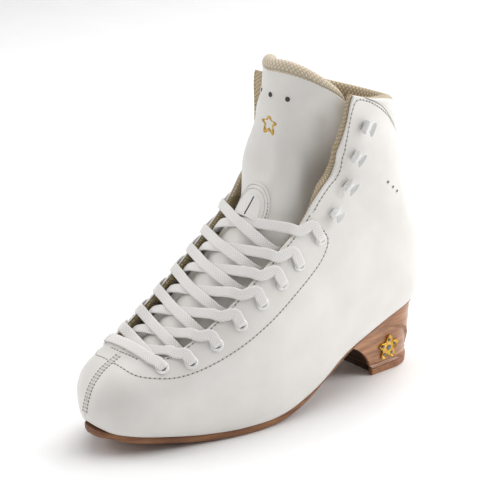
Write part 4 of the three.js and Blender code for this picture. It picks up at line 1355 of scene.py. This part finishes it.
for offset, label in ((0.93, "outer"), (0.82, "inner")):
    arch = [(d * offset * float(arch_half(s)), PATCH_FROM + (PATCH_TO - PATCH_FROM) * s * offset)
            for d, run in ((-1, np.linspace(0.02, 0.97, 9)), (1, np.linspace(0.97, 0.02, 9)))
            for s in run]
    sewn += sew(f"patch_{label}", arch, on_tongue, PATCH_TOP - 0.05, "tongue_upper", 2.4)
print("stitches", sewn)

# %% [markdown]
# ### Vent holes
#
# Three punched holes at each ankle and three in the tongue let warm air out. Each
# is a ring with a pressed lip round a dark, shallow hollow. Nothing can be seen
# through a hole this small, so the leather isn't cut for it.

# %% Vent holes
ANKLE_VENTS = [(1.71, 12.61), (1.787, 12.58), (1.858, 12.56)]
TONGUE_VENTS = [(-0.24, 13.52), (0.053, 13.42), (0.387, 13.49)]


def vent(name, turn, v, radius, surface, body):
    """A punched hole: a dark hollow inside a raised, pressed rim."""
    base, out = surface(turn, v)
    flat = unit(np.cross(out, [0.3, 0.2, 1.0]))
    axes = np.array([flat, np.cross(out, flat), out])
    rim = [(radius, -0.4), (radius, 0.05), (radius + 0.2, 0.22), (radius + 0.5, 0.2),
           (radius + 0.8, 0.0), (radius + 0.6, -0.4)]
    dress(ring_piece(f"vent_rim_{name}", turned_ring(rim, base, axes)), white_leather,
          body)
    floor = [disc(base, axes, r, z)
             for r, z in ((radius + 0.1, -0.4), (radius + 0.1, 0.02), (radius * 0.4, 0.03))]
    dress(tube_piece(f"vent_hollow_{name}", floor), hole_shade, body)


for name, side in SIDES:
    for i, (angle, v) in enumerate(ANKLE_VENTS):
        vent(f"ankle_{name}_{i + 1}", side * angle, v, 0.95, skin, "boot")
for i, (turn, v) in enumerate(TONGUE_VENTS):
    vent(f"tongue_{i + 1}", turn, v, 1.7, on_tongue, "tongue_upper")
print("vents", 2 * len(ANKLE_VENTS) + len(TONGUE_VENTS))

# %% [markdown]
# ### Stamped foil on the tongue
#
# A plain five-petalled outline in gold foil, pressed on by a hot stamp. It lies
# on the leather like paint, so its rings follow the tongue's own surface and
# stand only 0.15 mm proud of it.

# %% Foil motif
MOTIF_TURN, MOTIF_V, MOTIF_RADIUS, FOIL_WIDTH = 0.05, 10.5, 6.2, 2.2


def petals(angle):
    """The outline of a five-petalled flower, as a share of its radius."""
    return 0.8 + 0.2 * np.cos(5 * angle)


loop = around(100)
here, beside, above = (on_tongue(MOTIF_TURN + a, MOTIF_V + b)[0]
                       for a, b in ((0, 0), (0.05, 0), (0, 0.1)))
turn_step = 0.05 / np.linalg.norm(beside - here)
v_step = 0.1 / np.linalg.norm(above - here)
foil = []
for width, lift in ((0, -0.2), (0, 0.15), (FOIL_WIDTH, 0.15), (FOIL_WIDTH, -0.2)):
    radius = (MOTIF_RADIUS - width) * petals(loop)
    foil.append(on_tongue(MOTIF_TURN + radius * np.sin(loop) * turn_step,
                          MOTIF_V + radius * np.cos(loop) * v_step, lift)[0])
dress(ring_piece("foil_motif", foil), gold_foil, "tongue_upper")
print("one turn is", round(1 / turn_step, 1), "mm and one v", round(1 / v_step, 1), "mm here")

# %% [markdown]
# ## Sole
#
# A bend-leather outsole, 4.3 mm at the ball and thinner at the waist, with its
# edge trimmed and oiled. It carries the blade, so it stays bare underneath. It and
# the footbed are rings square to the boot's length, with more of them at the ends,
# where the outline turns fastest.

# %% Outsole and footbed
OUTSOLE_FRONT, HEEL_BACK = -240.5, 24.5
TOE_CENTRE, HEEL_CENTRE = SOLE_WIDTH[0][0], SOLE_WIDTH[-1][0]
BLUNT = 0.0004                      # leaves a little width at the very tips


def sole_half(y, trim, front, back):
    """Half width of the sole, rounded at both ends and trimmed by some mm."""
    toe = np.clip((TOE_CENTRE - y) / (TOE_CENTRE - front), 0, 1)
    wide = through(SOLE_WIDTH, y) - trim
    heel = np.clip((y - HEEL_CENTRE) / (back - HEEL_CENTRE), 0, 1)
    return (wide * np.sqrt(np.maximum(1 - toe**2, BLUNT))
            * np.sqrt(np.maximum(1 - heel**2, BLUNT)))


def outsole_thick(y):
    """2.2 mm at the waist and the heel, and 4.3 mm under the ball."""
    return 2.2 + 2.1 * smoothstep((-75 - y) / 45)


toe_rows = section(np.linspace(0.75, 2.5, 10))
FEATHER_WIDTH = [(-241.2, 1.0), *toe_rows[:, [2, 5]].tolist(), *SOLE_WIDTH]
FEATHER_LINE = [(-241.2, 17.6), (-235, 16.4), (-225, 13.7), *SOLE_LINE[1:]]
FEATHER_SHIFT = [*toe_rows[:, [2, 6]].tolist(), *SOLE_SHIFT]


def outsole_half(y):
    """The outsole follows the feather edge at the toe and rounds off at the heel."""
    return np.where(y < TOE_CENTRE, through(FEATHER_WIDTH, y) + 0.9,
                    sole_half(y, -0.8, OUTSOLE_FRONT, HEEL_BACK))


def sole_layer(name, front, back, half_at, line, shift, low, high, round_edge, dish=0.0):
    """A layer along a sole line with rounded edges; dish sinks its top's middle."""
    share = (1 - np.cos(np.linspace(0, math.pi, 130))) / 2
    ys = front + (back - front) * share
    loop = around(72)
    across = squared(np.cos(loop), 0.35)
    rings = []
    for y in ys:
        half = float(half_at(y))
        bottom, top = float(low(y)), float(high(y))
        middle, thick = (bottom + top) / 2, (top - bottom) / 2
        edge = np.clip((half - np.abs(across * half)) / round_edge, 0, 1)
        rise = np.sign(np.sin(loop)) * thick * np.sqrt(np.maximum(1 - (1 - edge) ** 2, 0.0))
        sink = np.where(rise > 0, dish * (1 - np.abs(across) ** 2) * min(half / 20, 1), 0)
        z = float(through(line, y)) + middle + rise - sink
        x = float(through(shift, y)) + across * half
        rings.append(np.stack([x, np.full_like(x, y), z], axis=1))
    return cloth_tube(name, rings)


outsole = sole_layer("leather_outsole", OUTSOLE_FRONT, HEEL_BACK, outsole_half, FEATHER_LINE,
                     FEATHER_SHIFT, lambda y: -GAP - outsole_thick(y), lambda y: -GAP, 0.7)
dress(outsole, sole_edge, "boot", ["outsole"])
FOOTBED_FRONT, FOOTBED_BACK, FOOTBED_TRIM = -221.0, 14.0, 4.5
footbed = sole_layer("padded_footbed", FOOTBED_FRONT, FOOTBED_BACK,
                     lambda y: sole_half(y, FOOTBED_TRIM, FOOTBED_FRONT, FOOTBED_BACK),
                     SOLE_LINE, SOLE_SHIFT, lambda y: FOOTBED_LOW,
                     lambda y: FOOTBED_LOW + FOOTBED_THICK, 2.5, dish=0.8)
dress(footbed, beige_mesh, "boot", ["footbed"])
for name, finish in (("insole_board", fibre_board), ("forefoot_filler", fibre_board),
                     ("steel_shank", spring_steel)):
    inner_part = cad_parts[name]
    inner_part.data.materials.clear()
    inner_part.data.materials.append(finish)
print("outsole", len(outsole.data.vertices))

# %% [markdown]
# ## Heel
#
# The heel is a stack of leather lifts, shaped, hollowed at the breast and
# lacquered. Each side has a shallow panel under an arch, and the lowest layer
# stands out as a lip. It is one grid wrapped round from breast to breast, and the
# panel is a depth taken off that grid. A boolean would leave it with sharp edges,
# and the real one's are soft.

# %% Heel
HEEL_FRONT, HEEL_HALF, HEEL_FLARE, HEEL_LIFT = -23.5, 26.0, 5.0, 5.0
ARC_CENTRE = -2.0
BREAST_TIP = -62.0
FLARE_OVER = 60                     # mm of height over which the heel widens by its flare
SIDE_SHARE = 0.33                   # of the way round, from the breast to the arc behind
RECESS_CENTRE, RECESS_DEPTH = -14.0, 1.1
BREAST_HOLLOW = 3.5
HEEL_WAYS, BREAST_STEPS, HEEL_ROWS = 300, 38, 60


def heel_top(y):
    """The heel's seat, under the outsole."""
    return through(SOLE_LINE, y) - GAP - outsole_thick(y) - GAP


def heel_turn(way):
    """Which side a way is on, how far it has come along that side, where 1 is its
    end, and how far it has turned round the arc behind, a right angle at most."""
    near = np.minimum(way, 1 - way) / SIDE_SHARE
    arc = np.clip((near - 1) / (0.5 / SIDE_SHARE - 1), 0, 1) * math.pi / 2
    return np.where(way < 0.5, 1.0, -1.0), near, arc


def heel_point(way, height):
    """A point on the heel's side. way runs 0..1 from the outer breast edge round the
    back to the inner one; height runs from 0 at the ground to 1 at the outsole."""
    way, height = np.broadcast_arrays(way, height)
    side, near, arc = heel_turn(way)
    tip_top = float(heel_top(BREAST_TIP))
    turn = height * math.pi / 2
    breast_y = HEEL_FRONT + (BREAST_TIP - HEEL_FRONT) * (1 - np.cos(turn))
    breast_z = tip_top * np.sin(turn)
    a = np.clip(near, 0, 1)
    y_side = breast_y + (ARC_CENTRE - breast_y) * a
    back_z = height * float(heel_top(ARC_CENTRE))
    chord = tip_top * (1 - a) + float(heel_top(ARC_CENTRE)) * a
    z_side = breast_z * (1 - a) + back_z * a + height**3 * (heel_top(y_side) - chord)
    depth = HEEL_BACK - 1 - ARC_CENTRE
    y_back = ARC_CENTRE + depth * np.sin(arc)
    z_back = height * heel_top(y_back)
    on_arc = near > 1
    y, z = np.where(on_arc, y_back, y_side), np.where(on_arc, z_back, z_side)
    half = HEEL_HALF + HEEL_FLARE * z / FLARE_OVER
    y = y + np.where(on_arc, z / FLARE_OVER * np.sin(arc), 0)
    x = np.where(on_arc, half * np.cos(arc), half)
    return np.stack([side * x, y, z], axis=-1)


def heel_out(way):
    """The level direction that the heel's side faces."""
    side, _, arc = heel_turn(way)
    return np.stack([side * np.cos(arc), np.sin(arc), 0 * way], axis=-1)


def recess(y, z):
    """How deep the side panel is. Its arch runs from the breast to the back, and a
    groove and a low ridge follow it."""
    reach = np.where(y < RECESS_CENTRE, 52.0, 33.0)
    arch_z = 6 + 29 * np.sqrt(np.clip(1 - ((y - RECESS_CENTRE) / reach) ** 2, 0, 1))
    inside = np.minimum(z - (HEEL_LIFT + 1.5), (arch_z - z) * 0.9)
    groove = 1.1 * np.exp(-((inside - 0.6) / 0.7) ** 2)
    ridge = -0.5 * np.exp(-((inside + 1.0) / 0.7) ** 2)
    return RECESS_DEPTH * smoothstep(inside, -0.2, 0.8) + groove + ridge


def heel_piece(name, height_from, height_to, rim, panel, lip=0.0):
    """A closed slice of the heel between two heights, its rims rounded."""
    ways = np.linspace(0, 1, HEEL_WAYS)
    rings = []
    for h in height_from + (height_to - height_from) * np.linspace(0, 1, HEEL_ROWS):
        base = heel_point(ways, h)
        out = heel_out(ways)
        low = np.abs(base[:, 2] - heel_point(ways, height_from)[:, 2])
        high = np.abs(heel_point(ways, height_to)[:, 2] - base[:, 2])
        fall = rounded(low, rim) + rounded(high, rim) - lip
        if panel:
            fall = fall + np.where(np.abs(out[:, 0]) > 0.05, recess(base[:, 1], base[:, 2]), 0)
        side = base - out * fall[:, None]
        front_turn = np.linspace(-1, 1, BREAST_STEPS + 2)[1:-1]
        edge = side[-1] + (side[0] - side[-1]) * (front_turn[:, None] + 1) / 2
        hollow = BREAST_HOLLOW * smoothstep(1 - np.abs(front_turn), 0.08, 0.3)
        hollow = hollow * (1 - smoothstep(h, 0.8, 1.0))
        edge[:, 1] += hollow
        rings.append(np.concatenate([side, edge]))
    return tube_piece(name, rings)


LIFT_TOP, BLOCK_FOOT = 0.112, 0.118     # as shares of the heel's height, a gap apart
BREAST_FACES = range(HEEL_WAYS + 5, HEEL_WAYS + 33)     # all but those at its corners
heel = heel_piece("lacquered_heel_block", BLOCK_FOOT, 1.0, 0.5, True)
dress(heel, heel_lacquer, "boot", ["heel_block"])
lift = heel_piece("heel_top_piece", 0.0, LIFT_TOP, 0.6, False, lip=0.35)
dress(lift, heel_rubber, "boot", ["heel_lift"])
heel_ring = HEEL_WAYS + BREAST_STEPS
# The breast faces of the block and the top piece take the painted shade.
for part in (heel, lift):
    part.data.materials.append(breast_painted_shade)
    for face in part.data.polygons[:(HEEL_ROWS - 1) * heel_ring]:
        face.material_index = int(face.index % heel_ring in BREAST_FACES)
print("heel", len(heel.data.vertices), "top piece", len(lift.data.vertices))

# %% [markdown]
# ### Rosette
#
# A plain five-petalled plate, cast and gold plated, with one large cut crystal and
# five small ones. The plate is a stack of the same outline drawn in step by step,
# which gives it a rim and a dished face. The crystals are shaded flat, because
# cut glass has hard edges and each facet should catch the light by itself.

# %% Rosette
ROSETTE_RADIUS, ROSETTE_HEIGHT, ROSETTE_ALONG = 9.6, 18.0, -9.5
tilt = math.atan(HEEL_FLARE / FLARE_OVER)
rosette_axes = np.array([[0, 1, 0], [math.sin(tilt), 0, math.cos(tilt)],
                         [math.cos(tilt), 0, -math.sin(tilt)]])
rosette_base = np.array([HEEL_HALF + HEEL_FLARE * ROSETTE_HEIGHT / FLARE_OVER - 0.6,
                         ROSETTE_ALONG, ROSETTE_HEIGHT])
loop = around(120)
lobed = ROSETTE_RADIUS * petals(loop)


def rosette_ring(shrink, height):
    """The plate's outline, drawn in by some mm, at a height above its seat."""
    radius = lobed - shrink
    local = np.stack([radius * np.sin(loop), radius * np.cos(loop), 0 * loop + height], axis=1)
    return rosette_base + local @ rosette_axes


rosette = tube_piece("gold_rosette", [rosette_ring(*pair) for pair in (
    (0.1, -0.8), (0, 0.2), (0.05, 0.9), (0.35, 1.3), (0.8, 1.25), (1.2, 0.6), (2.5, 0.65),
    (4.0, 0.9))])
dress(rosette, gold_plate, "boot", ["heel_badge"])
gems = []
FACETS, GEM_CIRCLE = 8, 5.7
for radius, x, y in [(2.2, 0, 0)] + [(1.25, GEM_CIRCLE * math.sin(t), GEM_CIRCLE * math.cos(t))
                                     for t in around(5)]:
    cut = ((radius * 0.8, 0.6), (radius, 1.1), (radius * 0.55, 1.1 + radius / 3))
    gems.append([disc(rosette_base, rosette_axes, r, z, FACETS, x, y) for r, z in cut])
crystals = merged("rosette_crystals", gems)
crystals.data.polygons.foreach_set("use_smooth", [False] * len(crystals.data.polygons))
dress(crystals, crystal, "boot")
print("rosette and", len(gems), "crystals")

# %% [markdown]
# ## Floor and light
#
# A white floor and four square soft boxes. The one in front at the left models the
# toe, a stronger one at the right lights the outer side, and the broad ones above
# and behind keep the shadow soft. Their powers are balanced so that white leather
# stays just under full white and keeps its grain. The Standard view transform
# shows those whites as they are, where a filmic one would grey them.

# %% Stage
floor_mesh = bpy.data.meshes.new("studio_floor")
floor_mesh.from_pydata([(-6, -6, 0), (6, -6, 0), (6, 6, 0), (-6, 6, 0)], [], [(0, 1, 2, 3)])
floor = placed("studio_floor", floor_mesh)
floor.location.z = cad_box[0].z - 0.0002
floor.data.materials.append(mottled("matt_white_paint", "#FAFAFA", "#FCFCFC", 60, Roughness=0.9))

world = bpy.data.worlds.new("studio")
world.use_nodes = True
world.node_tree.nodes["Background"].inputs["Color"].default_value = (1, 1, 1, 1)
world.node_tree.nodes["Background"].inputs["Strength"].default_value = 0.28
bpy.context.scene.world = world
bpy.context.scene.view_settings.view_transform = "Standard"
MIDDLE = Vector((0, -0.11, 0.1))
for name, place, size, power in (
        ("left_box", (-0.75, -1.0, 0.75), 0.9, 5.5), ("right_box", (0.85, 0.85, 0.8), 0.9, 11),
        ("top_box", (-0.15, 0.15, 1.6), 1.8, 17), ("back_box", (-0.9, 2.0, 1.6), 1.6, 27)):
    light = bpy.data.lights.new(name, "AREA")
    light.size = size
    light.energy = power
    lamp = placed(name, light)
    lamp.location = place
    lamp.rotation_euler = (MIDDLE - Vector(place)).to_track_quat("-Z", "Y").to_euler()
print("stage set")
